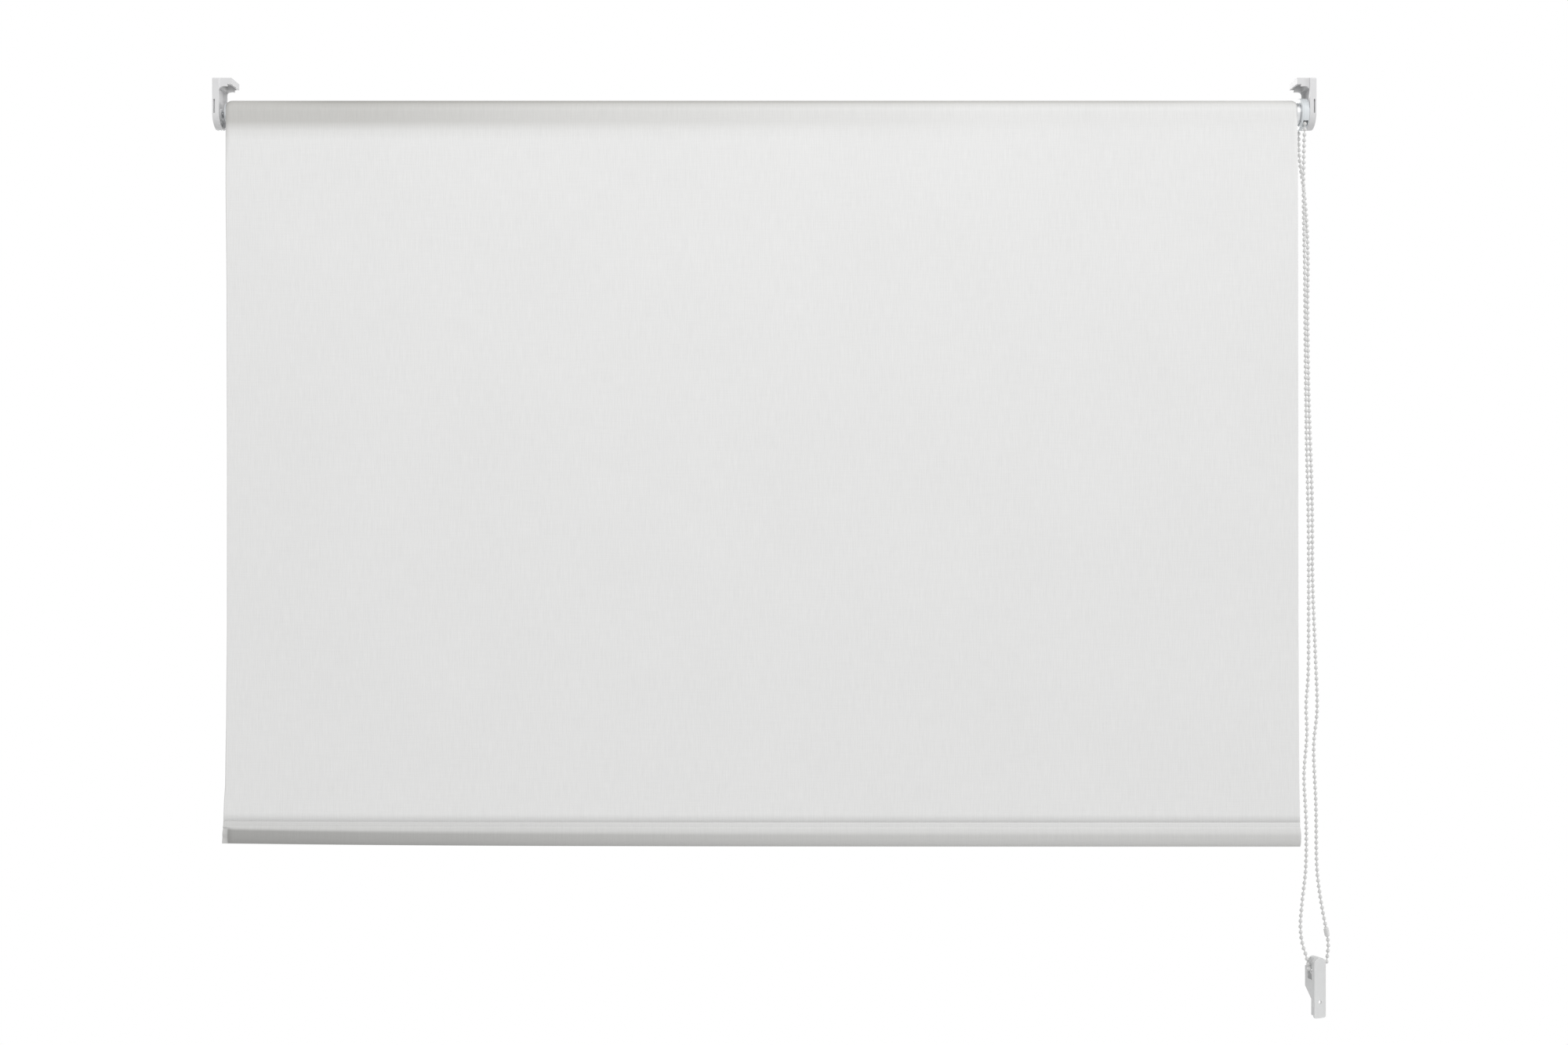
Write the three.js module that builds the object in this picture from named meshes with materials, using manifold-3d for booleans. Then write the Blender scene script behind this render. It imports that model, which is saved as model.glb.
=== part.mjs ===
// A blackout roller blind, 120 cm wide, let down 80 cm: two end brackets, a wound tube with a
// spring-loaded idle pin, a bead-chain clutch, the hanging cloth with its weighted hem, and the
// bead chain with its clear tensioner. Millimetres, +Z up, +X along the tube, the room at -Y.
// The origin is on the idle bracket's top face, over the tube's axis.
import * as THREE from 'three';
import { mergeVertices } from 'three/addons/utils/BufferGeometryUtils.js';
import Module from 'manifold-3d';

const wasm = await Module();
wasm.setup();

// Driving sizes of the whole blind
const overallWidth = 1200; // between the brackets' outer faces
const originInset = 4.5; // the origin from the idle bracket's outer face
const axisDrop = 37; // the tube's axis below the brackets' top faces
const hangingDrop = 773; // from the tube's axis to the top of the hem
const runGap = 0.3; // left between parts that fit or run together
const cutOver = 1; // overrun of every cutting shape
const fullTurn = 2 * Math.PI;

const bracket = {
  thickness: 7, // of the side cheek, along X
  rimInset: 0.34, // its rounded foot lies this far inside the clutch drum's rim
  skin: 2.6, // plate at the outer face
  wall: 2.2, // rim round the cheek
  cornerRadius: 2,
  flangeReach: 20.5, // from the outer face, over the roll
  flangeDepth: 30,
  flangeSkin: 2.6,
  lipHeight: 6.6, // of the flange's inner end
  lipLength: 4.5,
  webHeight: 9, // of the ribs beside the cheek
  webFillet: 5,
  webWall: 2.2,
  slotWidth: 6,
  slotLength: 14,
  slotOffset: 6.6, // the slot's middle from the cheek's inner face
  windowHeight: 15, // slit in the front rim, beside the socket
  windowWidth: 1.6,
  windowInset: 1.4,
  windowRise: 6, // the slit's middle above the axis
  footSteps: 20,
  cornerSteps: 4,
  slotSteps: 8,
};
const idleSocket = { radius: 6.5, recess: 0.4 };
const lugSocket = { radius: 12.3, recess: 0.2 };

const tube = {
  radius: 12.5,
  wall: 1,
  grooveHalfWidth: 4, // the tape's groove, on top
  grooveDepth: 1.4,
  idleGap: 6, // from the idle bracket's cheek to the tube's end
  facets: 40,
};
const cloth = {
  thickness: 0.45,
  buildUp: 1.9, // of the layers wound on the tube
  idleInset: 1.9, // the cloth's edge in from the tube's end
  chainInset: 4.3,
  facets: 48,
};
const tape = { halfWidth: 3.5, thickness: 0.6 };

const idlePin = {
  radius: 3,
  chamfer: 0.8,
  tipGap: 0.6, // between its tip and the bracket's plate
  collarDepth: 12.3, // its collar starts this far into the tube
  collarRadius: 4.7,
  collarLength: 2,
  stubRadius: 2,
  stubLength: 3.7,
};
const idlePlug = {
  length: 30, // inside the tube
  flangeLength: 1,
  chamberRadius: 5,
  capLength: 3,
  ringGrooves: 2,
  ringGrooveWidth: 2,
  ringGrooveDepth: 0.8,
};
const idleCoil = { radius: 4.2, wire: 0.35, turns: 6 };
const coilSteps = 8; // of each turn
const coilSides = 5;

const chain = {
  pitch: 6,
  beadRadius: 2.25,
  linkRadius: 0.75,
  shoulder: 0.9, // half the length of a bead's full-width middle
  sides: 4,
};
const wheel = {
  pockets: 12,
  thickness: 5.8,
  rimHeight: 1, // above the beads' middles
  pocketGap: 0.55,
  grooveDepth: 1.8, // below the beads' middles
  grooveWidth: 3.4,
  sleeveBoreShare: 0.7, // of the sleeve's radius
  sleeveEnd: 2, // beyond the adapter
  keys: 3,
  keyWidth: 3,
  keyHeight: 1,
  keyLength: 24,
};
const housing = {
  clearance: 1.1, // round the beads on the wheel
  wall: 2.4,
  plate: 0.7,
  mouthGap: 0.75, // on either side of the chain, where it leaves
  mouthTop: 5, // below the axis
};
const cover = { thickness: 0.8, rim: 1, chamfer: 0.8 };
const adapter = { inset: 0.7, length: 31.8, boreShare: 0.83 }; // its bore, of the plug's radius
const core = {
  lug: 14,
  neckOffset: 5.8, // its thinner part starts this far into the adapter
  neckShare: 0.7, // of the shaft's radius
  tail: 2.5, // beyond the wheel's sleeve
};
const brakeSpring = { inset: 0.8, wire: 0.5, turns: 5, pitch: 1.9, starts: [1.6, 13.6] };
const clip = { inset: 0.5, thickness: 1, lugGap: 2.4 };

const hem = {
  seamHeight: 4.5,
  weld: 0.1, // half of what the weld adds between the seam's two layers
  barHalfHeight: 8.6,
  barHalfDepth: 4,
  barWall: 1.2,
  slack: 0.3, // between bar and cloth
  apexDrop: 0.6, // the pocket's inside starts this far below the seam
  emptyEnd: 6.5, // pocket left empty at the idle side
  barInset: 0.8, // the bar's cap in from the cloth's edge, chain side
  capHead: 2,
  capPlug: 12,
  facets: 12,
};
const shoulderShare = 0.88; // how high the pocket keeps its full depth, of the bar's half height

const tensioner = {
  yaw: 24, // degrees about Z
  offset: [15.1, 0, -926.3], // the chain's entries, from the wheel's middle
  width: 15.7,
  depth: 15.2,
  plate: 2,
  wallThickness: 1.5,
  crown: 4.3, // the domed top above the entries
  drop: 61.7, // the plate's foot below the entries
  footRadius: 2.5,
  cheekTop: 6.4, // below the entries
  cheekFull: 28.3,
  cheekTaper: 40.7,
  cheekEnd: 58.4,
  legDepth: 5.2,
  hoodDepth: 12,
  hoodFloor: 9.6, // the hood's underside below the entries
  saddleHalf: 4.2, // of the part of the hood that the chain runs under
  throat: 7, // the chain's way across, along the depth
  throatFloor: 20,
  screwRadius: 2.2,
  screwDrop: 44.3,
  gateTop: 13,
  gateHeight: 14,
  gateThickness: 1.5,
};
const connector = { seat: 163, length: 10.8, radius: 2.8, bore: 1.15, nose: 1.7, noseLength: 1.6 };

// The free loop's route, chosen by hand: from the wheel's middle, out of the front mouth, down,
// through the tensioner and up to the back mouth.
const mouthDrop = 15.3;
const pitchRadius = chain.pitch / 2 / Math.sin(fullTurn / 2 / wheel.pockets);
const route = [
  [0, -pitchRadius, -mouthDrop], [-0.9, -11.5, -40], [-1, -10.5, -97], [0.8, -9, -172],
  [2.2, -7, -270], [3.5, -6, -350], [6, -5, -450], [6.2, -5, -550], [5.7, -5, -614],
  [3.5, -5, -646], [4.3, -5, -679], [1.2, -5, -722], [3.6, -5, -778], [3, -5, -826],
  [-1, -5, -863], [-2.8, -5.1, -889], [-0.7, -5.2, -907], [3.6, -5.2, -921], [5.2, -4.6, -928],
  [8.3, -3, -936.5], [14.8, 0, -940.6], [22, 3.2, -937], [28.1, 5, -931],
  [29.9, 5.4, -922], [30.8, 5.4, -909], [28.4, 5.3, -893], [22.8, 5, -863],
  [18.5, 5, -829], [17.3, 5, -760], [14.9, 5, -691], [18.5, 5, -652], [16.5, 5, -590],
  [13.6, 5.2, -510], [13.2, 5.7, -425], [10.2, 6.8, -320], [9, 8.4, -220],
  [9.6, 9.6, -146], [6.5, 10.6, -90], [1, 11.5, -45], [0, pitchRadius, -mouthDrop],
];

// Places and sizes that follow. Distances along the tube run in from the outer face of the
// bracket on that side.
const idleFace = -originInset; // X of the idle bracket's outer face
const chainFace = idleFace + overallWidth;
const axisZ = -axisDrop;
const idleEnd = bracket.thickness + tube.idleGap; // the tube's end
const housingStart = bracket.thickness + runGap;
const wheelStart = housingStart + housing.plate + runGap;
const wheelEnd = wheelStart + wheel.thickness;
const coverInner = wheelEnd + runGap;
const coverOuter = coverInner + cover.thickness;
const chainEnd = coverOuter + runGap; // the tube's other end
const adapterStart = chainEnd + adapter.inset;
const adapterEnd = adapterStart + adapter.length;
const sleeveEnd = adapterEnd + wheel.sleeveEnd;
const neckStart = adapterStart + core.neckOffset;
const chainPlane = chainFace - (wheelStart + wheel.thickness / 2);
const clothStart = idleFace + idleEnd + cloth.idleInset;
const clothEnd = chainFace - chainEnd - cloth.chainInset;
const boreRadius = tube.radius - tube.wall;
const plugRadius = boreRadius - runGap;
const grooveFloor = tube.radius - tube.grooveDepth; // above the axis
const keyHalfWidth = tube.grooveHalfWidth + tube.wall; // the groove seen from inside the tube
const keyHeight = grooveFloor - tube.wall;
const woundInner = tube.radius + runGap;
const woundRadius = woundInner + cloth.buildUp;
const hubRadius = plugRadius * adapter.boreShare - runGap;
const hubBore = hubRadius * wheel.sleeveBoreShare;
const shaftRadius = hubBore - runGap;
const brakeRadius = hubBore - brakeSpring.inset;
const neckRadius = shaftRadius * core.neckShare;
const drumBore = pitchRadius + chain.beadRadius + housing.clearance;
const drumRadius = drumBore + housing.wall;
const cheekHalf = drumRadius - bracket.rimInset; // half the brackets' width
const clothPlane = -(woundRadius + runGap + cloth.thickness / 2); // Y of the hanging cloth
const hemTop = axisZ - hangingDrop;
const seamHalf = cloth.thickness + hem.weld;
const pocketHalfDepth = hem.barHalfDepth + hem.slack + cloth.thickness;
const pocketHalfHeight = hem.barHalfHeight + hem.slack + cloth.thickness;
const barCentre = hemTop - hem.seamHeight - hem.apexDrop - cloth.thickness
  - pocketHalfHeight - hem.barHalfDepth / 2;

const blind = new THREE.Group();
const finishes = {
  bracket: { color: 0xe9eae6, roughness: 0.45, metalness: 0 },
  clutch: { color: 0xe4e6e8, roughness: 0.4, metalness: 0 },
  aluminium: { color: 0xc9cbcc, roughness: 0.3, metalness: 1 },
  steel: { color: 0x8d9092, roughness: 0.35, metalness: 1 },
  cloth: { color: 0xdedede, roughness: 0.85, metalness: 0 },
  tape: { color: 0xefe8cf, roughness: 0.6, metalness: 0 },
  bar: { color: 0xdfe0df, roughness: 0.5, metalness: 0 },
  bead: { color: 0xf0f0ee, roughness: 0.4, metalness: 0 },
  clear: { color: 0xdde2e4, roughness: 0.1, metalness: 0, transparent: true, opacity: 0.4 },
};

function add(name, geometry, finish) {
  const mesh = new THREE.Mesh(geometry, new THREE.MeshStandardMaterial(finishes[finish]));
  mesh.name = name;
  blind.add(mesh);
}

// --- shared shape helpers
// Vertices that share a place become one, empty triangles go, and the faces point out.
function weld(geometry) {
  const bare = geometry.clone();
  bare.deleteAttribute('normal');
  bare.deleteAttribute('uv');
  const merged = mergeVertices(bare);
  const index = merged.index.array;
  const place = merged.attributes.position;
  const corner = [new THREE.Vector3(), new THREE.Vector3(), new THREE.Vector3()];
  const kept = [];
  let volume = 0;
  for (let i = 0; i < index.length; i += 3) {
    const [a, b, c] = [index[i], index[i + 1], index[i + 2]];
    if (a === b || b === c || a === c) continue;
    corner.forEach((v, k) => v.fromBufferAttribute(place, index[i + k]));
    volume += corner[0].dot(corner[1].clone().cross(corner[2]));
    kept.push(a, b, c);
  }
  if (volume < 0) {
    for (let i = 0; i < kept.length; i += 3) [kept[i], kept[i + 1]] = [kept[i + 1], kept[i]];
  }
  merged.setIndex(kept);
  return merged;
}

function toSolid(geometry) {
  const merged = weld(geometry);
  return new wasm.Manifold(new wasm.Mesh({
    numProp: 3,
    vertProperties: new Float32Array(merged.attributes.position.array),
    triVerts: new Uint32Array(merged.index.array),
  }));
}

function toGeometry(solid) {
  const mesh = solid.getMesh();
  const geometry = new THREE.BufferGeometry();
  geometry.setAttribute('position', new THREE.BufferAttribute(mesh.vertProperties, 3));
  geometry.setIndex(new THREE.BufferAttribute(mesh.triVerts, 1));
  return geometry;
}

const cut = (from, ...tools) => toGeometry(
  tools.reduce((left, tool) => left.subtract(toSolid(tool)), toSolid(from)),
);
const join = (first, ...others) => toGeometry(
  others.reduce((sum, other) => sum.add(toSolid(other)), toSolid(first)),
);

// A block between two corners, its ends given along X, Y and Z.
function block([x0, x1], [y0, y1], [z0, z1]) {
  const shape = new THREE.BoxGeometry(x1 - x0, y1 - y0, z1 - z0);
  return shape.translate((x0 + x1) / 2, (y0 + y1) / 2, (z0 + z1) / 2);
}

// The points of an arc round (cx, cy), from one angle to another in steps.
function arc(cx, cy, radius, from, to, steps) {
  return Array.from({ length: steps + 1 }, (_, k) => {
    const angle = from + ((to - from) * k) / steps;
    return new THREE.Vector2(cx + radius * Math.cos(angle), cy + radius * Math.sin(angle));
  });
}

// A shape drawn in Y and Z, pushed along X from x0 to x1.
function alongX(shape, x0, x1, curveSegments = 12) {
  const solid = new THREE.ExtrudeGeometry(shape, { depth: x1 - x0, bevelEnabled: false, curveSegments });
  const turn = new THREE.Matrix4().makeBasis(
    new THREE.Vector3(0, 1, 0), new THREE.Vector3(0, 0, 1), new THREE.Vector3(1, 0, 0),
  );
  return solid.applyMatrix4(turn).translate(x0, 0, 0);
}

// A shape drawn in X and Z, pushed along Y, centred on y = 0.
function alongY(shape, depth, curveSegments = 8) {
  const solid = new THREE.ExtrudeGeometry(shape, { depth, bevelEnabled: false, curveSegments });
  return solid.translate(0, 0, -depth / 2).rotateX(fullTurn / 4);
}

// A profile of [radius, distance] rows turned about the tube's axis. Distances run in from the
// outer face of the bracket on that side.
function turned(side, rows, facets) {
  const place = (d) => (side === 'idle' ? idleFace + d : chainFace - d);
  const closed = rows[0][0] === 0 ? rows : [...rows, rows[0]];
  const profile = closed.map(([radius, d]) => new THREE.Vector2(radius, place(d)));
  const shape = new THREE.LatheGeometry(profile, facets);
  return weld(shape.rotateZ(-fullTurn / 4).translate(0, 0, axisZ));
}

// A solid swept along pointAt(u): stations holds [u, radius, turn] rows, where the turn is in
// half sides on from the station before.
function swept(pointAt, stations, sides, firstSide) {
  const last = stations.length - 1;
  const positions = [];
  const faces = [];
  const side = firstSide.clone();
  const reachShare = 0.01;
  let turns = 0;
  stations.forEach(([u, radius, turn = 0]) => {
    turns += turn;
    const centre = pointAt(u);
    const along = pointAt(u + reachShare).sub(pointAt(u - reachShare)).normalize();
    side.addScaledVector(along, -side.dot(along)).normalize();
    const up = along.clone().cross(side);
    for (let k = 0; k < sides; k += 1) {
      const angle = ((k - turns / 2) / sides) * fullTurn;
      const corner = centre.clone()
        .addScaledVector(side, radius * Math.cos(angle))
        .addScaledVector(up, radius * Math.sin(angle));
      positions.push(corner.x, corner.y, corner.z);
    }
  });
  for (let r = 0; r < last; r += 1) {
    for (let k = 0; k < sides; k += 1) {
      const a = r * sides + k;
      const b = r * sides + ((k + 1) % sides);
      faces.push(a, b, b + sides, a, b + sides, a + sides);
    }
  }
  for (let k = 1; k < sides - 1; k += 1) {
    faces.push(0, k + 1, k, last * sides, last * sides + k, last * sides + k + 1);
  }
  const geometry = new THREE.BufferGeometry();
  geometry.setAttribute('position', new THREE.Float32BufferAttribute(positions, 3));
  geometry.setIndex(faces);
  return weld(geometry);
}

// --- brackets
// Modelled with the outer face at x = 0 and the room side at -Y, then set at its own end.
function bracketBody(socket) {
  const half = cheekHalf;
  const outline = (inset) => {
    const radius = half - inset;
    const top = (inset > 0 ? -bracket.webHeight : 0) - bracket.cornerRadius;
    const corner = radius - bracket.cornerRadius;
    return new THREE.Shape([
      ...arc(0, axisZ, radius, fullTurn / 2, fullTurn, bracket.footSteps),
      ...arc(corner, top, bracket.cornerRadius, 0, fullTurn / 4, bracket.cornerSteps),
      ...arc(-corner, top, bracket.cornerRadius, fullTurn / 4, fullTurn / 2, bracket.cornerSteps),
    ]);
  };
  const cheek = alongX(outline(0), 0, bracket.thickness);
  const hollow = alongX(outline(bracket.wall), bracket.skin, bracket.thickness + cutOver);

  const web = new THREE.Shape();
  const step = bracket.flangeReach - bracket.lipLength;
  web.moveTo(0, 0);
  web.lineTo(bracket.flangeReach, 0);
  web.lineTo(bracket.flangeReach, -bracket.lipHeight);
  web.lineTo(step, -bracket.lipHeight);
  web.lineTo(step, -bracket.webHeight);
  web.lineTo(bracket.thickness + bracket.webFillet, -bracket.webHeight);
  web.quadraticCurveTo(
    bracket.thickness, -bracket.webHeight,
    bracket.thickness, -bracket.webHeight - bracket.webFillet,
  );
  web.lineTo(0, -bracket.webHeight - bracket.webFillet);
  const flange = alongY(web, bracket.flangeDepth, 5);
  const cellHalf = bracket.flangeDepth / 2 - bracket.webWall;
  const cell = block(
    [bracket.thickness, bracket.flangeReach - bracket.webWall],
    [-cellHalf, cellHalf],
    [-bracket.webHeight - bracket.webFillet - cutOver, -bracket.flangeSkin],
  );
  const slotRadius = bracket.slotWidth / 2;
  const slotEnd = bracket.slotLength / 2 - slotRadius;
  const slot = new THREE.Shape([
    ...arc(0, slotEnd, slotRadius, 0, fullTurn / 2, bracket.slotSteps),
    ...arc(0, -slotEnd, slotRadius, fullTurn / 2, fullTurn, bracket.slotSteps),
  ]);
  const slotCut = new THREE.ExtrudeGeometry(slot, {
    depth: bracket.flangeSkin + 2 * cutOver, bevelEnabled: false,
  }).translate(bracket.thickness + bracket.slotOffset, 0, -bracket.flangeSkin - cutOver);
  const windowMiddle = axisZ + bracket.windowRise;
  const slit = block(
    [bracket.windowInset, bracket.windowInset + bracket.windowWidth],
    [-half - cutOver, -half + bracket.wall + cutOver],
    [windowMiddle - bracket.windowHeight / 2, windowMiddle + bracket.windowHeight / 2],
  );
  const shell = cut(join(cheek, flange), hollow, cell, slotCut, slit);
  return join(shell, socket);
}

function addBrackets() {
  const ring = new THREE.Shape().absarc(0, axisZ, idleSocket.radius, 0, fullTurn);
  ring.holes.push(new THREE.Path().absarc(0, axisZ, idlePin.radius + runGap, 0, fullTurn, true));
  const depthIdle = bracket.thickness - idleSocket.recess;
  const seat = bracket.skin - bracket.skin / 2; // the sockets are rooted halfway in the plate
  const idle = bracketBody(alongX(ring, seat, depthIdle, 10));
  add('idle_bracket', idle.translate(idleFace, 0, 0), 'bracket');

  const frameHalf = core.lug / 2 + runGap;
  const frame = new THREE.Shape().absarc(0, axisZ, lugSocket.radius, 0, fullTurn);
  frame.holes.push(new THREE.Path([
    new THREE.Vector2(-frameHalf, axisZ - frameHalf), new THREE.Vector2(-frameHalf, axisZ + frameHalf),
    new THREE.Vector2(frameHalf, axisZ + frameHalf), new THREE.Vector2(frameHalf, axisZ - frameHalf),
  ]));
  const depthLug = bracket.thickness - lugSocket.recess;
  const body = bracketBody(alongX(frame, seat, depthLug, 10));
  add('chain_bracket', weld(body.scale(-1, 1, 1).translate(chainFace, 0, 0)), 'bracket');
}

// --- tube, cloth and tape
function tubeOutline(radius, halfWidth, floor, path) {
  const edge = Math.asin(halfWidth / radius);
  path.moveTo(halfWidth, axisZ + floor);
  path.lineTo(-halfWidth, axisZ + floor);
  path.lineTo(-halfWidth, axisZ + radius * Math.cos(edge));
  path.absarc(0, axisZ, radius, fullTurn / 4 + edge, fullTurn / 4 - edge + fullTurn);
  path.lineTo(halfWidth, axisZ + floor);
  return path;
}

function addRoller() {
  const wall = tubeOutline(tube.radius, tube.grooveHalfWidth, grooveFloor, new THREE.Shape());
  wall.holes.push(tubeOutline(boreRadius, keyHalfWidth, keyHeight, new THREE.Path()));
  const length = [idleFace + idleEnd, chainFace - chainEnd];
  add('roller_tube', weld(alongX(wall, ...length, tube.facets / 2)), 'aluminium');

  const tapeFloor = axisZ + grooveFloor + runGap;
  add('cloth_tape', block(
    [clothStart, clothEnd],
    [-tape.halfWidth, tape.halfWidth],
    [tapeFloor, tapeFloor + tape.thickness],
  ), 'tape');

  const [from, to] = [clothStart - idleFace, clothEnd - idleFace];
  add('wound_cloth', turned('idle', [
    [woundInner, from], [woundRadius, from], [woundRadius, to], [woundInner, to],
  ], cloth.facets), 'cloth');

  add('cloth_panel', block(
    [clothStart, clothEnd],
    [clothPlane - cloth.thickness / 2, clothPlane + cloth.thickness / 2],
    [hemTop + runGap, axisZ],
  ), 'cloth');
}

// The slot that the tube's inner key runs in, cut into what is pushed into the tube.
function keySlot(x0, x1) {
  const half = keyHalfWidth + runGap;
  return block([x0, x1], [-half, half], [axisZ + keyHeight - runGap, axisZ + tube.radius]);
}

// --- idle end
function addIdleEnd() {
  const pinBore = idlePin.radius + runGap;
  const flangeEnd = idleEnd - runGap;
  const flangeStart = flangeEnd - idlePlug.flangeLength;
  const flangeRadius = tube.radius - runGap;
  const collarStart = idleEnd + idlePin.collarDepth;
  const chamberStart = collarStart - runGap;
  const plugEnd = idleEnd + idlePlug.length;
  const groovePitch = (plugEnd - flangeEnd) / (idlePlug.ringGrooves + 1);
  const floor = plugRadius - idlePlug.ringGrooveDepth;
  const groovePoints = [];
  for (let k = 1; k <= idlePlug.ringGrooves; k += 1) {
    const from = flangeEnd + k * groovePitch - idlePlug.ringGrooveWidth / 2;
    const to = from + idlePlug.ringGrooveWidth;
    groovePoints.push([plugRadius, from], [floor, from], [floor, to], [plugRadius, to]);
  }
  const body = turned('idle', [
    [pinBore, flangeStart], [flangeRadius, flangeStart], [flangeRadius, flangeEnd],
    [plugRadius, flangeEnd], ...groovePoints, [plugRadius, plugEnd],
    [idlePlug.chamberRadius, plugEnd], [idlePlug.chamberRadius, chamberStart],
    [pinBore, chamberStart],
  ], 24);
  const slot = keySlot(idleFace + idleEnd, idleFace + plugEnd + cutOver);
  add('idle_plug', cut(body, slot), 'clutch');

  const capStart = plugEnd - idlePlug.capLength;
  const capRadius = idlePlug.chamberRadius - runGap;
  add('idle_plug_cap', turned('idle', [
    [0, capStart], [capRadius, capStart], [capRadius, plugEnd], [0, plugEnd],
  ], 20), 'clutch');

  const tip = bracket.skin + idlePin.tipGap;
  const collarEnd = collarStart + idlePin.collarLength;
  const stubEnd = collarEnd + idlePin.stubLength;
  add('idle_pin', turned('idle', [
    [0, tip], [idlePin.radius - idlePin.chamfer, tip], [idlePin.radius, tip + idlePin.chamfer],
    [idlePin.radius, collarStart], [idlePin.collarRadius, collarStart],
    [idlePin.collarRadius, collarEnd], [idlePin.stubRadius, collarEnd],
    [idlePin.stubRadius, stubEnd], [0, stubEnd],
  ], 20), 'steel');

  const clear = runGap + idleCoil.wire;
  addCoil('idle_spring', idleCoil, idleFace + collarEnd + clear, idleFace + capStart - clear);
}

// A coil round the tube's axis, from x0 to x1.
function addCoil(name, coil, x0, x1) {
  const steps = coil.turns * coilSteps;
  const pointAt = (u) => {
    const angle = u * coil.turns * fullTurn;
    return new THREE.Vector3(
      x0 + (x1 - x0) * u, coil.radius * Math.cos(angle), axisZ + coil.radius * Math.sin(angle),
    );
  };
  const stations = Array.from({ length: steps + 1 }, (_, k) => [k / steps, coil.wire]);
  add(name, swept(pointAt, stations, coilSides, new THREE.Vector3(1, 0, 0)), 'steel');
}

// --- chain clutch
function addClutch() {
  const rimEnd = coverInner - cover.rim;
  const drum = turned('chain', [
    [hubBore, housingStart], [drumRadius, housingStart], [drumRadius, rimEnd],
    [drumBore, rimEnd], [drumBore, housingStart + housing.plate], [hubBore, housingStart + housing.plate],
  ], 32);
  const mouthHalf = chain.beadRadius + housing.mouthGap;
  const mouth = (y) => block(
    [chainFace - rimEnd - cutOver, chainFace - housingStart - housing.plate],
    [y - mouthHalf, y + mouthHalf],
    [axisZ - drumRadius - cutOver, axisZ - housing.mouthTop],
  );
  add('clutch_housing', cut(drum, mouth(-pitchRadius), mouth(pitchRadius)), 'clutch');

  const lidBore = hubRadius + runGap;
  add('clutch_cover', turned('chain', [
    [lidBore, coverInner], [drumBore, coverInner], [drumBore, rimEnd], [drumRadius, rimEnd],
    [drumRadius, coverOuter - cover.chamfer], [drumRadius - cover.chamfer, coverOuter],
    [lidBore, coverOuter],
  ], 32), 'clutch');

  // Chain wheel: a grooved disc with a pocket for each bead, on the sleeve that drives the tube.
  const middle = (wheelStart + wheelEnd) / 2;
  const wheelRadius = pitchRadius + wheel.rimHeight;
  const grooveRadius = pitchRadius - wheel.grooveDepth;
  const grooveHalf = wheel.grooveWidth / 2;
  const sleeve = turned('chain', [
    [hubBore, wheelStart], [wheelRadius, wheelStart], [wheelRadius, middle - grooveHalf],
    [grooveRadius, middle - grooveHalf], [grooveRadius, middle + grooveHalf],
    [wheelRadius, middle + grooveHalf], [wheelRadius, wheelEnd], [hubRadius, wheelEnd],
    [hubRadius, sleeveEnd], [hubBore, sleeveEnd],
  ], 24);
  const pockets = [];
  for (let k = 0; k < wheel.pockets; k += 1) {
    const angle = (k / wheel.pockets) * fullTurn;
    pockets.push(new THREE.SphereGeometry(chain.beadRadius + wheel.pocketGap, 8, 6).translate(
      chainPlane, pitchRadius * Math.cos(angle), axisZ + pitchRadius * Math.sin(angle),
    ));
  }
  const keyEnd = chainFace - adapterStart - runGap;
  const keyTop = hubRadius + wheel.keyHeight;
  const driveKeys = (gap) => Array.from({ length: wheel.keys }, (_, k) => {
    const half = wheel.keyWidth / 2 + gap;
    const key = block(
      [keyEnd - wheel.keyLength - gap, keyEnd + (gap > 0 ? runGap + cutOver : 0)],
      [-half, half],
      [hubRadius - wheel.keyHeight, keyTop + gap],
    );
    const angle = fullTurn / 2 + (k / wheel.keys) * fullTurn;
    return key.rotateX(angle).translate(0, 0, axisZ);
  });
  add('chain_wheel', cut(join(sleeve, ...driveKeys(0)), ...pockets), 'clutch');

  const ring = turned('chain', [
    [lidBore, adapterStart], [plugRadius, adapterStart], [plugRadius, adapterEnd], [lidBore, adapterEnd],
  ], 32);
  const slot = keySlot(chainFace - adapterEnd - cutOver, chainFace - adapterStart + cutOver);
  add('tube_adapter', cut(ring, slot, ...driveKeys(runGap)), 'clutch');

  // Fixed spindle: square lug in the bracket, shaft under the wheel, neck for the brake springs.
  const socketEnd = bracket.thickness - lugSocket.recess;
  const spindleEnd = sleeveEnd + core.tail;
  const shaft = turned('chain', [
    [0, socketEnd], [shaftRadius, socketEnd], [shaftRadius, neckStart],
    [neckRadius, neckStart], [neckRadius, spindleEnd], [0, spindleEnd],
  ], 28);
  const lug = block(
    [chainFace - bracket.thickness, chainFace - bracket.skin - runGap],
    [-core.lug / 2, core.lug / 2],
    [axisZ - core.lug / 2, axisZ + core.lug / 2],
  );
  add('clutch_core', join(shaft, lug), 'clutch');

  brakeSpring.starts.forEach((start, k) => {
    const from = chainFace - neckStart - start;
    const coil = { ...brakeSpring, radius: brakeRadius };
    addCoil(`brake_spring_${k + 1}`, coil, from - brakeSpring.turns * brakeSpring.pitch, from);
  });

  const clipStart = sleeveEnd + runGap;
  const clipEnd = clipStart + clip.thickness;
  const clipRadius = hubRadius - clip.inset;
  const washer = turned('chain', [
    [neckRadius + runGap, clipStart], [clipRadius, clipStart],
    [clipRadius, clipEnd], [neckRadius + runGap, clipEnd],
  ], 24);
  const gap = block(
    [chainFace - clipEnd - cutOver, chainFace - clipStart + cutOver],
    [-clip.lugGap / 2, clip.lugGap / 2],
    [axisZ - clipRadius - cutOver, axisZ],
  );
  add('core_clip', cut(washer, gap), 'steel');
}

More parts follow.
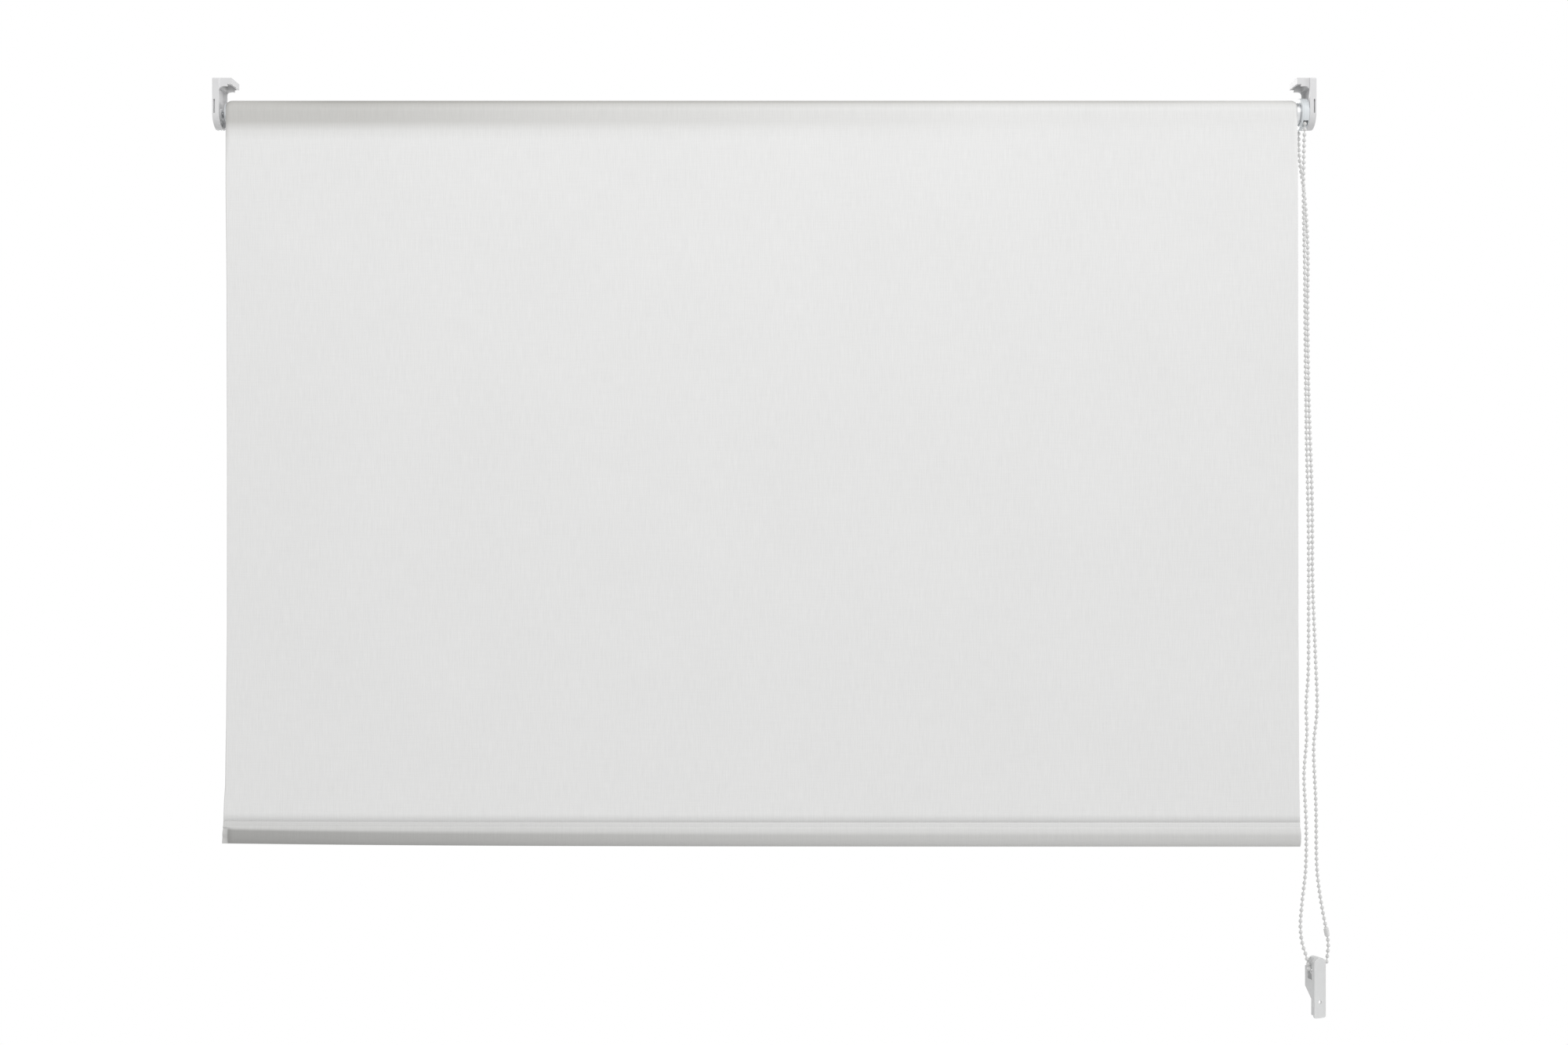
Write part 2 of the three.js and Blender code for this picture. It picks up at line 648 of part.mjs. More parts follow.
// --- hem
function teardrop(target, halfDepth, halfHeight, neck, top) {
  const shoulder = barCentre + halfHeight * shoulderShare;
  target.moveTo(clothPlane - neck, top);
  target.quadraticCurveTo(clothPlane - halfDepth, shoulder, clothPlane - halfDepth, barCentre);
  target.absellipse(clothPlane, barCentre, halfDepth, halfHeight, fullTurn / 2, fullTurn);
  target.quadraticCurveTo(clothPlane + halfDepth, shoulder, clothPlane + neck, top);
  return target;
}

function addHem() {
  const seamFoot = hemTop - hem.seamHeight;
  const pocket = teardrop(new THREE.Shape(), pocketHalfDepth, pocketHalfHeight, seamHalf, seamFoot);
  pocket.lineTo(clothPlane + seamHalf, hemTop);
  pocket.lineTo(clothPlane - seamHalf, hemTop);
  pocket.holes.push(teardrop(
    new THREE.Path(), pocketHalfDepth - cloth.thickness, pocketHalfHeight - cloth.thickness,
    0, seamFoot - hem.apexDrop,
  ));
  add('hem_pocket', weld(alongX(pocket, clothStart, clothEnd, hem.facets)), 'cloth');

  const oval = (inset) => new THREE.Path().absellipse(
    clothPlane, barCentre, hem.barHalfDepth - inset, hem.barHalfHeight - inset, 0, fullTurn,
  );
  const ovalShape = (inset) => new THREE.Shape(oval(inset).getPoints(2 * hem.facets).slice(1));
  const barStart = clothStart + hem.emptyEnd + hem.capHead;
  const barEnd = clothEnd - hem.barInset - hem.capHead;
  const section = ovalShape(0);
  section.holes.push(new THREE.Path(oval(hem.barWall).getPoints(2 * hem.facets).slice(1)));
  add('bottom_bar', weld(alongX(section, barStart, barEnd)), 'bar');

  const plugInset = hem.barWall + runGap;
  const ends = [
    ['bar_cap_idle', barStart - hem.capHead, barStart, barStart - cutOver, barStart + hem.capPlug],
    ['bar_cap_chain', barEnd, barEnd + hem.capHead, barEnd - hem.capPlug, barEnd + cutOver],
  ];
  ends.forEach(([name, head0, head1, plug0, plug1]) => {
    const head = alongX(ovalShape(0), head0, head1);
    add(name, join(head, alongX(ovalShape(plugInset), plug0, plug1)), 'clutch');
  });
}

// --- bead chain
// Each bead is two full rings, the second turned by half a side, between thin links.
function beadStations(first, count, bare) {
  const shoulderShareOfPitch = chain.shoulder / chain.pitch;
  const stations = [[first, chain.linkRadius]];
  for (let k = 0; k < count; k += 1) {
    const middle = first + k + 1 / 2;
    if (!bare.includes(k)) {
      stations.push([middle - shoulderShareOfPitch, chain.beadRadius]);
      stations.push([middle + shoulderShareOfPitch, chain.beadRadius, 1]);
    }
    stations.push([first + k + 1, chain.linkRadius]);
  }
  return stations;
}

function addChain() {
  const sideways = new THREE.Vector3(1, 0, 0);
  const centre = new THREE.Vector3(chainPlane, 0, axisZ);

  // Over the wheel: half a turn, and two beads straight down on either side.
  const half = wheel.pockets / 2;
  const straight = 2.5; // beads below the axis on either side, to the link's middle
  const onWheel = (u) => {
    const beads = u - straight;
    if (beads < 0) return new THREE.Vector3(chainPlane, -pitchRadius, axisZ + beads * chain.pitch);
    if (beads > half) {
      return new THREE.Vector3(chainPlane, pitchRadius, axisZ - (beads - half) * chain.pitch);
    }
    const angle = (beads / half) * (fullTurn / 2);
    return new THREE.Vector3(
      chainPlane, -pitchRadius * Math.cos(angle), axisZ + pitchRadius * Math.sin(angle),
    );
  };
  const wheelBeads = half + 2 * straight;
  add('chain_on_wheel', swept(onWheel, beadStations(0, wheelBeads, []), chain.sides, sideways), 'bead');

  // The free loop, at the pitch nearest to the chain's own that fits a whole number of beads.
  const points = route.map(([x, y, z]) => new THREE.Vector3(x, y, z).add(centre));
  const curve = new THREE.CatmullRomCurve3(points, false, 'centripetal');
  curve.arcLengthDivisions = 4000;
  const beads = Math.round(curve.getLength() / chain.pitch);
  const onLoop = (u) => curve.getPointAt(Math.min(Math.max(u / beads, 0), 1));
  const hidden = [connector.seat, connector.seat + 1];
  add('bead_chain', swept(onLoop, beadStations(0, beads, hidden), chain.sides, sideways), 'bead');

  const seat = onLoop(connector.seat + 1);
  const along = onLoop(connector.seat + 1.5).sub(onLoop(connector.seat + 1 / 2)).normalize();
  const end = connector.length / 2;
  const neck = end - connector.noseLength;
  const shell = new THREE.LatheGeometry([
    [connector.bore, -end], [connector.nose, -end], [connector.radius, -neck],
    [connector.radius, neck], [connector.nose, end], [connector.bore, end], [connector.bore, -end],
  ].map(([r, s]) => new THREE.Vector2(r, s)), 12);
  shell.applyQuaternion(new THREE.Quaternion().setFromUnitVectors(new THREE.Vector3(0, 1, 0), along));
  add('chain_connector', weld(shell.translate(seat.x, seat.y, seat.z)), 'bead');
}

// --- tensioner
// Modelled about the middle of the chain's entries, then turned and set on the loop.
function addTensioner() {
  const half = tensioner.width / 2;
  const front = -tensioner.depth / 2;
  const back = tensioner.depth / 2;
  const domeRadius = (half ** 2 + tensioner.crown ** 2) / (2 * tensioner.crown);
  const domeAngle = Math.asin(half / domeRadius);
  const domeCentre = tensioner.crown - domeRadius;
  const dome = (foot) => {
    const corner = half - tensioner.footRadius;
    const rise = tensioner.footRadius - foot;
    return new THREE.Shape([
      ...arc(-corner, rise, tensioner.footRadius, fullTurn / 2, (3 * fullTurn) / 4, 4),
      ...arc(corner, rise, tensioner.footRadius, (3 * fullTurn) / 4, fullTurn, 4),
      ...arc(0, domeCentre, domeRadius, fullTurn / 4 - domeAngle, fullTurn / 4 + domeAngle, 10),
    ]);
  };
  const plate = alongY(dome(tensioner.drop), tensioner.plate);
  plate.translate(0, front + tensioner.plate / 2, 0);
  const hood = alongY(dome(tensioner.hoodFloor), tensioner.hoodDepth);
  hood.translate(0, front + tensioner.hoodDepth / 2, 0);

  const cheekShape = new THREE.Shape();
  cheekShape.moveTo(front, -tensioner.cheekTop);
  cheekShape.lineTo(front, -tensioner.cheekEnd);
  cheekShape.lineTo(front + tensioner.legDepth, -tensioner.cheekEnd);
  cheekShape.lineTo(front + tensioner.legDepth, -tensioner.cheekTaper);
  cheekShape.lineTo(back, -tensioner.cheekFull);
  cheekShape.lineTo(back, -tensioner.cheekTop);
  const cheek = (sign) => alongX(
    cheekShape,
    sign < 0 ? -half : half - tensioner.wallThickness,
    sign < 0 ? -half + tensioner.wallThickness : half,
  );
  const throat = block(
    [-half - cutOver, half + cutOver],
    [-tensioner.throat / 2, tensioner.throat / 2],
    [-tensioner.throatFloor, -tensioner.hoodFloor],
  );
  // The chain's two ways in, beside the saddle that it runs under.
  const wayIn = (sign) => {
    const ends = [sign * tensioner.saddleHalf, sign * (half + cutOver)].sort((a, b) => a - b);
    return block(
      ends,
      [-tensioner.throat / 2, tensioner.throat / 2],
      [-tensioner.throatFloor, tensioner.crown + cutOver],
    );
  };
  const screw = new THREE.CylinderGeometry(
    tensioner.screwRadius, tensioner.screwRadius, tensioner.plate + 2 * cutOver, 16,
  ).translate(0, front + tensioner.plate / 2, -tensioner.screwDrop);
  const body = cut(join(plate, hood, cheek(-1), cheek(1)), throat, wayIn(-1), wayIn(1), screw);

  const gateHalf = half - tensioner.wallThickness - runGap;
  const gate = block(
    [-gateHalf, gateHalf],
    [back - tensioner.gateThickness, back],
    [-tensioner.gateTop - tensioner.gateHeight, -tensioner.gateTop],
  );
  const [dx, dy, dz] = tensioner.offset;
  [['chain_tensioner', body], ['tensioner_gate', gate]].forEach(([name, geometry]) => {
    const placed = geometry.rotateZ(THREE.MathUtils.degToRad(tensioner.yaw));
    add(name, placed.translate(chainPlane + dx, dy, axisZ + dz), 'clear');
  });
}

addBrackets();
addRoller();
addIdleEnd();
addClutch();
addHem();
addChain();
addTensioner();

export default blind;
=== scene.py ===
# Blackout roller blind with a bead chain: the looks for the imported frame.
# Metres, +Z up, +X along the tube, the room at -Y.
import math

import bmesh
import bpy
from mathutils import Matrix, Vector


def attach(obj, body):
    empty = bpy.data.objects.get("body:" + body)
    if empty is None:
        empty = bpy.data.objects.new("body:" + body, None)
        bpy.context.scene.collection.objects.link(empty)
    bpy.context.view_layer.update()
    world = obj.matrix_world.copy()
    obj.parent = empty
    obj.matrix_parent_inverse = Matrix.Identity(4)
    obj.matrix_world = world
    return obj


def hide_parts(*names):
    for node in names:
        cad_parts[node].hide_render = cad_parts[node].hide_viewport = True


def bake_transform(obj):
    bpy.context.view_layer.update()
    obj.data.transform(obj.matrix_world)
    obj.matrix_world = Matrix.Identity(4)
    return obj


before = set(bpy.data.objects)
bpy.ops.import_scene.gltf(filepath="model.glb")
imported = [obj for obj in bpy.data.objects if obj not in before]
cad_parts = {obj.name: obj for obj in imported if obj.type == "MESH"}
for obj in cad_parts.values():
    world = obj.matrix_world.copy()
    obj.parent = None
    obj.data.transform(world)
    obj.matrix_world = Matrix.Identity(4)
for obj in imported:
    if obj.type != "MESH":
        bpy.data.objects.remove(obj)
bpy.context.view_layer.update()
scene = bpy.context.scene
fullTurn = 2 * math.pi
mm = 0.001
axisHeight = -37  # of the tube's middle, in millimetres
axis = Vector((0, 0, axisHeight * mm))

# Camera
camera = {
    "place": (0.59135, -2.0, -0.4837),
    "lens": 41.904,
    "sensor": 36,
    "shift": 0.015,  # the frame's middle lies a little right of the lens axis
}
cameraData = bpy.data.cameras.new("camera")
cameraData.lens = camera["lens"]
cameraData.sensor_width = camera["sensor"]
cameraData.shift_x = camera["shift"]
cameraObject = bpy.data.objects.new("camera", cameraData)
cameraObject.location = camera["place"]
cameraObject.rotation_euler = (math.radians(90), 0, 0)
scene.collection.objects.link(cameraObject)
scene.camera = cameraObject

# Node groups and materials

def newGroup(name, inputs, outputs):
    group = bpy.data.node_groups.new(name, "ShaderNodeTree")
    for label, value in inputs.items():
        socket = group.interface.new_socket(label, in_out="INPUT", socket_type="NodeSocketFloat")
        socket.default_value = value
    for label in outputs:
        group.interface.new_socket(label, in_out="OUTPUT", socket_type="NodeSocketFloat")
    return group, group.nodes.new("NodeGroupInput"), group.nodes.new("NodeGroupOutput")


def mathNode(tree, operation, *values):
    node = tree.nodes.new("ShaderNodeMath")
    node.operation = operation
    for socket, value in zip(node.inputs, values):
        if hasattr(value, "is_output"):
            tree.links.new(value, socket)
        else:
            socket.default_value = value
    return node.outputs[0]


def noiseNode(tree, vector, stretch, scale, detail=2.0, offset=(0, 0, 0)):
    place = tree.nodes.new("ShaderNodeMapping")
    place.inputs["Scale"].default_value = stretch
    place.inputs["Location"].default_value = offset
    tree.links.new(vector, place.inputs["Vector"])
    noise = tree.nodes.new("ShaderNodeTexNoise")
    noise.inputs["Detail"].default_value = detail
    if hasattr(scale, "is_output"):
        tree.links.new(scale, noise.inputs["Scale"])
    else:
        noise.inputs["Scale"].default_value = scale
    tree.links.new(place.outputs[0], noise.inputs["Vector"])
    return noise.outputs[0]


def waveNode(tree, vector, direction, scale):
    wave = tree.nodes.new("ShaderNodeTexWave")
    wave.bands_direction = direction
    wave.inputs["Scale"].default_value = scale
    tree.links.new(vector, wave.inputs["Vector"])
    return wave.outputs["Fac"]


# How often the cloth's threads and clouds change over a metre, across it and along its drop.
weave = {
    "dropSlubs": (760, 42, 1),
    "fineSlubs": (1500, 90, 1),
    "crossSlubs": (38, 820, 1),
    "mottle": 9.0,
    "threads": 560,
}
grain = {
    "flow": 70.0,
    "scuffs": 420.0,
    "scuffStretch": (1, 0.25, 1),
    "scuffRange": (0.6, 0.75),  # of the noise, from no scuff to a whole one
}


def makeLinenWeave():
    # Fine threads with thicker slubs, strong along the drop and weak across it. Reads the cloth's
    # own map in metres. Tone is 0 to 1 about 0.5, Height is 0 to 1.
    inputs = {"Slubs": 1.0, "Cross slubs": 0.5, "Mottle": 0.5}
    group, given, out = newGroup("linenWeave", inputs, ["Tone", "Height"])
    uv = group.nodes.new("ShaderNodeUVMap")
    uv.uv_map = "clothMap"
    spot = uv.outputs[0]
    down = noiseNode(group, spot, weave["dropSlubs"], 1.0, 2.0)
    downFine = noiseNode(group, spot, weave["fineSlubs"], 1.0, 1.0, (7, 3, 0))
    across = noiseNode(group, spot, weave["crossSlubs"], 1.0, 1.5, (3, 9, 0))
    cloud = noiseNode(group, spot, (1, 1, 1), weave["mottle"], 3.0)
    warp = waveNode(group, spot, "X", weave["threads"])
    weft = waveNode(group, spot, "Y", weave["threads"])
    downSum = mathNode(group, "ADD", down, mathNode(group, "MULTIPLY", downFine, 0.5))
    downEven = mathNode(group, "SUBTRACT", downSum, 0.75)
    downPart = mathNode(group, "MULTIPLY", downEven, given.outputs["Slubs"])
    crossEven = mathNode(group, "SUBTRACT", across, 0.5)
    crossPart = mathNode(group, "MULTIPLY", crossEven, given.outputs["Cross slubs"])
    cloudEven = mathNode(group, "SUBTRACT", cloud, 0.5)
    cloudPart = mathNode(group, "MULTIPLY", cloudEven, given.outputs["Mottle"])
    slubs = mathNode(group, "ADD", downPart, crossPart)
    tone = mathNode(group, "ADD", mathNode(group, "ADD", slubs, cloudPart), 0.5)
    threads = mathNode(group, "MULTIPLY", mathNode(group, "ADD", warp, weft), 0.5)
    height = mathNode(group, "ADD", mathNode(group, "MULTIPLY", threads, 0.5), slubs)
    group.links.new(tone, out.inputs["Tone"])
    group.links.new(height, out.inputs["Height"])
    return group


def makeMouldedGrain():
    # Very fine spark texture of an injection mould, faint flow clouds and a few scuffs.
    inputs = {"Grain scale": 2600.0, "Scuffs": 0.5}
    group, given, out = newGroup("mouldedGrain", inputs, ["Tone", "Height", "Roughness"])
    place = group.nodes.new("ShaderNodeTexCoord").outputs["Object"]
    sparks = noiseNode(group, place, (1, 1, 1), given.outputs["Grain scale"], 2.0)
    flow = noiseNode(group, place, (1, 1, 1), grain["flow"], 2.0)
    scuff = noiseNode(group, place, grain["scuffStretch"], grain["scuffs"], 4.0, (1, 2, 3))
    ramp = group.nodes.new("ShaderNodeMapRange")
    ramp.inputs["From Min"].default_value, ramp.inputs["From Max"].default_value = grain["scuffRange"]
    group.links.new(scuff, ramp.inputs["Value"])
    scuffPart = mathNode(group, "MULTIPLY", ramp.outputs[0], given.outputs["Scuffs"])
    mostFlow = mathNode(group, "MULTIPLY", flow, 0.6)
    someSparks = mathNode(group, "MULTIPLY", sparks, 0.4)
    clouds = mathNode(group, "ADD", mostFlow, someSparks)
    tone = mathNode(group, "SUBTRACT", clouds, mathNode(group, "MULTIPLY", scuffPart, 0.25))
    dull = mathNode(group, "ADD", mathNode(group, "MULTIPLY", flow, 0.5), scuffPart)
    group.links.new(tone, out.inputs["Tone"])
    group.links.new(sparks, out.inputs["Height"])
    group.links.new(dull, out.inputs["Roughness"])
    return group


def makeDrawnStreaks():
    # Die lines along X on drawn aluminium and turned steel.
    group, given, out = newGroup("drawnStreaks", {"Along": 8.0, "Across": 2400.0}, ["Tone", "Height"])
    place = group.nodes.new("ShaderNodeTexCoord").outputs["Object"]
    stretch = group.nodes.new("ShaderNodeCombineXYZ")
    group.links.new(given.outputs["Along"], stretch.inputs[0])
    group.links.new(given.outputs["Across"], stretch.inputs[1])
    group.links.new(given.outputs["Across"], stretch.inputs[2])
    scaled = group.nodes.new("ShaderNodeVectorMath")
    scaled.operation = "MULTIPLY"
    group.links.new(place, scaled.inputs[0])
    group.links.new(stretch.outputs[0], scaled.inputs[1])
    streak = noiseNode(group, scaled.outputs[0], (1, 1, 1), 1.0, 3.0)
    dull = noiseNode(group, place, (1, 1, 1), 40.0, 2.0)
    mostStreak = mathNode(group, "MULTIPLY", streak, 0.7)
    someDull = mathNode(group, "MULTIPLY", dull, 0.3)
    tone = mathNode(group, "ADD", mostStreak, someDull)
    group.links.new(tone, out.inputs["Tone"])
    group.links.new(streak, out.inputs["Height"])
    return group


linenWeave = makeLinenWeave()
mouldedGrain = makeMouldedGrain()
drawnStreaks = makeDrawnStreaks()


def newMaterial(name, group, values, dark, light, roughness, bump, shader):
    # Base colour runs from dark to light with the group's Tone, and roughness may be a range.
    # bump is (strength, distance), and shader holds the sockets that are the same all over.
    material = bpy.data.materials.new(name)
    material.use_nodes = True
    tree = material.node_tree
    body = tree.nodes["Principled BSDF"]
    effect = tree.nodes.new("ShaderNodeGroup")
    effect.node_tree = group
    for label, value in values.items():
        effect.inputs[label].default_value = value
    mix = tree.nodes.new("ShaderNodeMix")
    mix.data_type = "RGBA"
    mix.inputs["A"].default_value = (*dark, 1)
    mix.inputs["B"].default_value = (*light, 1)
    tree.links.new(effect.outputs["Tone"], mix.inputs["Factor"])
    tree.links.new(mix.outputs["Result"], body.inputs["Base Color"])
    if isinstance(roughness, tuple):
        spread = tree.nodes.new("ShaderNodeMapRange")
        spread.inputs["To Min"].default_value, spread.inputs["To Max"].default_value = roughness
        source = effect.outputs["Roughness"] if "Roughness" in effect.outputs else effect.outputs["Tone"]
        tree.links.new(source, spread.inputs["Value"])
        tree.links.new(spread.outputs[0], body.inputs["Roughness"])
    else:
        body.inputs["Roughness"].default_value = roughness
    relief = tree.nodes.new("ShaderNodeBump")
    relief.inputs["Strength"].default_value, relief.inputs["Distance"].default_value = bump
    tree.links.new(effect.outputs["Height"], relief.inputs["Height"])
    tree.links.new(relief.outputs[0], body.inputs["Normal"])
    for label, value in shader.items():
        body.inputs[label].default_value = value
    return material


def multiplyPaintedShade(material):
    # Painted shade: the cloth's base colour is multiplied by a per-point colour attribute of the piece's
    # own, greyer where the cloth lies over the roll or the bar.
    tree = material.node_tree
    body = tree.nodes["Principled BSDF"]
    paintedShade = tree.nodes.new("ShaderNodeAttribute")
    paintedShade.attribute_name = "paintedShade"
    both = tree.nodes.new("ShaderNodeMix")
    both.data_type = "RGBA"
    both.blend_type = "MULTIPLY"
    both.inputs["Factor"].default_value = 1
    tree.links.new(body.inputs["Base Color"].links[0].from_socket, both.inputs["A"])
    tree.links.new(paintedShade.outputs["Color"], both.inputs["B"])
    tree.links.new(both.outputs["Result"], body.inputs["Base Color"])


blackoutCloth = newMaterial(
    "blackoutCloth", linenWeave, {"Slubs": 1.0, "Cross slubs": 0.45, "Mottle": 0.35},
    (0.79, 0.79, 0.785), (0.87, 0.87, 0.865), 0.82, (0.25, 0.00025),
    {"Sheen Weight": 0.08, "Sheen Roughness": 0.5, "Specular IOR Level": 0.3},
)
# Painted shade in the cloth's base colour.
multiplyPaintedShade(blackoutCloth)
cutEdge = newMaterial(
    "cutEdge", linenWeave, {"Slubs": 1.4, "Cross slubs": 1.2, "Mottle": 0.6},
    (0.78, 0.77, 0.74), (0.88, 0.87, 0.85), 0.9, (0.5, 0.0003), {"Specular IOR Level": 0.2},
)
bracketPlastic = newMaterial(
    "bracketPlastic", mouldedGrain, {"Grain scale": 2600.0, "Scuffs": 0.35},
    (0.68, 0.68, 0.685), (0.77, 0.77, 0.775), (0.38, 0.52), (0.12, 0.00008), {},
)
clutchPlastic = newMaterial(
    "clutchPlastic", mouldedGrain, {"Grain scale": 3000.0, "Scuffs": 0.25},
    (0.7, 0.735, 0.755), (0.78, 0.81, 0.83), (0.3, 0.45), (0.1, 0.00006), {},
)
chainPlastic = newMaterial(
    "chainPlastic", mouldedGrain, {"Grain scale": 900.0, "Scuffs": 0.1},
    (0.66, 0.66, 0.655), (0.76, 0.76, 0.755), (0.25, 0.4), (0.05, 0.00005), {},
)
tapePlastic = newMaterial(
    "tapePlastic", mouldedGrain, {"Grain scale": 1500.0, "Scuffs": 0.2},
    (0.82, 0.78, 0.66), (0.9, 0.87, 0.76), (0.4, 0.6), (0.1, 0.0001), {},
)
clearPlastic = newMaterial(
    "clearPlastic", mouldedGrain, {"Grain scale": 500.0, "Scuffs": 0.1},
    (0.76, 0.765, 0.765), (0.82, 0.825, 0.825), (0.18, 0.28), (0.04, 0.00005),
    {"Transmission Weight": 0.15, "IOR": 1.49},
)
tubeAluminium = newMaterial(
    "tubeAluminium", drawnStreaks, {"Along": 8.0, "Across": 2600.0},
    (0.62, 0.63, 0.64), (0.82, 0.83, 0.84), (0.22, 0.4), (0.12, 0.00005), {"Metallic": 1.0},
)
barAluminium = newMaterial(
    "barAluminium", drawnStreaks, {"Along": 6.0, "Across": 1800.0},
    (0.66, 0.66, 0.66), (0.84, 0.84, 0.84), (0.3, 0.5), (0.1, 0.00005), {"Metallic": 1.0},
)
pinSteel = newMaterial(
    "pinSteel", drawnStreaks, {"Along": 900.0, "Across": 300.0},
    (0.42, 0.43, 0.44), (0.66, 0.67, 0.68), (0.2, 0.38), (0.1, 0.00004), {"Metallic": 1.0},
)
print("materials done")

# Shared mesh helpers
hardEdges = {
    "roundedOver": 32,  # degrees: edges sharper than this get a round
    "roundSteps": 2,
    "smoothUnder": 40,  # degrees: shading runs across edges flatter than this
    "mergedUnder": 0.6,  # degrees: a CAD node's facets flatter than this become one face
    "weld": 1e-6,
}
endCrowding = 0.9  # of a cloth grid's columns at its two ends, 0 for even ones


def makePiece(name, bm, materials, body, nodes, weighted=False):
    # A piece without a body is not attached to one.
    mesh = bpy.data.meshes.new(name)
    bm.to_mesh(mesh)
    bm.free()
    for material in materials:
        mesh.materials.append(material)
    piece = bpy.data.objects.new(name, mesh)
    scene.collection.objects.link(piece)
    if weighted:
        normals = piece.modifiers.new("evenNormals", "WEIGHTED_NORMAL")
        normals.keep_sharp = True
    if body:
        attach(piece, body)
    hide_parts(*nodes)
    return piece


def shadeByAngle(bm, degrees):
    for face in bm.faces:
        face.smooth = True
    for edge in bm.edges:
        edge.smooth = len(edge.link_faces) == 2 and edge.calc_face_angle(0) < math.radians(degrees)


def mergedCopy(node):
    bm = bmesh.new()
    bm.from_mesh(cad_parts[node].data)
    bmesh.ops.remove_doubles(bm, verts=bm.verts, dist=hardEdges["weld"])
    bmesh.ops.dissolve_limit(
        bm, angle_limit=math.radians(hardEdges["mergedUnder"]), verts=bm.verts, edges=bm.edges,
    )
    return bm


def finishedCopy(name, node, material, body, edge, shape=None):
    # A CAD node's copy with its sharp edges rounded by edge, in millimetres.
    bm = mergedCopy(node)
    if edge:
        sharp = math.radians(hardEdges["roundedOver"])
        inner = [e for e in bm.edges if len(e.link_faces) == 2]
        bmesh.ops.bevel(
            bm, geom=[e for e in inner if e.calc_face_angle(0) > sharp], offset=edge * mm,
            offset_type="OFFSET", affect="EDGES", segments=hardEdges["roundSteps"], profile=0.5,
            material=-1, clamp_overlap=True,
        )
    if shape:
        for vert in bm.verts:
            vert.co = shape(vert.co)
    shadeByAngle(bm, hardEdges["smoothUnder"])
    return makePiece(name, bm, [material], body, [node], weighted=True)


def columnShare(a):
    # Closer columns at the two ends.
    return a - endCrowding * math.sin(fullTurn * a) / fullTurn


def clothGrid(columns, rows, place, mapping):
    # A sheet from place(a, b) with a and b from 0 to 1; its map is in metres, from mapping(a, b).
    bm = bmesh.new()
    bmesh.ops.create_grid(bm, x_segments=columns, y_segments=rows, size=0.5)
    share = {}
    for vert in bm.verts:
        share[vert.index] = (columnShare(vert.co.x + 0.5), vert.co.y + 0.5)
    layer = bm.loops.layers.uv.new("clothMap")
    for face in bm.faces:
        face.smooth = True
        for loop in face.loops:
            loop[layer].uv = mapping(*share[loop.vert.index])
    for vert in bm.verts:
        vert.co = place(*share[vert.index])
    return bm


def softStep(value, start, end):
    t = min(max((value - start) / (end - start), 0), 1)
    return t * t * (3 - 2 * t)


# Bead chain, in millimetres
chain = {
    "wheelMiddle": (1184.3, 0, axisHeight),
    "pitch": 6,
    "pockets": 12,  # round the wheel
    "mouthDrop": 15.3,
    "beadRadius": 2.25,
    "beadSides": 8,
    "beadRings": 6,
    "linkRadius": 0.7,
    "linkSides": 6,
    "connectorSeat": 163,  # the connector takes this bead's place and the next one's
    "wheelBeads": 11,
    "straightBeads": 2.5,  # hanging straight below the wheel on either side
    "routeSteps": 4000,
    "pathSteps": 400,
}
pitchRadius = chain["pitch"] / 2 / math.sin(math.pi / chain["pockets"])
# The loop's points from the wheel's middle, in millimetres, as the frame has them.
chainRoute = [
    (0, -pitchRadius, -chain["mouthDrop"]), (-0.9, -11.5, -40), (-1, -10.5, -97), (0.8, -9, -172),
    (2.2, -7, -270), (3.5, -6, -350), (6, -5, -450), (6.2, -5, -550), (5.7, -5, -614),
    (3.5, -5, -646), (4.3, -5, -679), (1.2, -5, -722), (3.6, -5, -778), (3, -5, -826),
    (-1, -5, -863), (-2.8, -5.1, -889), (-0.7, -5.2, -907), (3.6, -5.2, -921), (5.2, -4.6, -928),
    (8.3, -3, -936.5), (14.8, 0, -940.6), (22, 3.2, -937), (28.1, 5, -931),
    (29.9, 5.4, -922), (30.8, 5.4, -909), (28.4, 5.3, -893), (22.8, 5, -863),
    (18.5, 5, -829), (17.3, 5, -760), (14.9, 5, -691), (18.5, 5, -652), (16.5, 5, -590),
    (13.6, 5.2, -510), (13.2, 5.7, -425), (10.2, 6.8, -320), (9, 8.4, -220),
    (9.6, 9.6, -146), (6.5, 10.6, -90), (1, 11.5, -45), (0, pitchRadius, -chain["mouthDrop"]),
]
wheelMiddle = Vector(chain["wheelMiddle"]) * mm
routePoints = [wheelMiddle + Vector(point) * mm for point in chainRoute]


def curvePoint(points, t):
    # Centripetal Catmull-Rom through the points, t from 0 to 1.
    last = len(points) - 1
    span = min(int(t * last), last - 1)
    w = t * last - span
    p1, p2 = points[span], points[span + 1]
    p0 = points[span - 1] if span > 0 else 2 * points[0] - points[1]
    p3 = points[span + 2] if span + 2 <= last else 2 * points[last] - points[last - 1]
    d0, d1, d2 = (max((b - a).length, 1e-9) ** 0.5 for a, b in ((p0, p1), (p1, p2), (p2, p3)))
    t1 = ((p1 - p0) / d0 - (p2 - p0) / (d0 + d1) + (p2 - p1) / d1) * d1
    t2 = ((p2 - p1) / d1 - (p3 - p1) / (d1 + d2) + (p3 - p2) / d2) * d1
    return p1 + t1 * w + (3 * (p2 - p1) - 2 * t1 - t2) * w * w + (2 * (p1 - p2) + t1 + t2) * w ** 3


def evenLine(points, steps):
    # Returns (length, at): at(share) is the point that far along the curve by length.
    dense = [curvePoint(points, k / steps) for k in range(steps + 1)]
    sums = [0.0]
    for a, b in zip(dense, dense[1:]):
        sums.append(sums[-1] + (b - a).length)

    def at(share):
        goal = min(max(share, 0), 1) * sums[-1]
        low, high = 0, steps
        while high - low > 1:
            middle = (low + high) // 2
            low, high = (middle, high) if sums[middle] <= goal else (low, middle)
        return dense[low].lerp(dense[high], (goal - sums[low]) / (sums[high] - sums[low]))

    return sums[-1], at


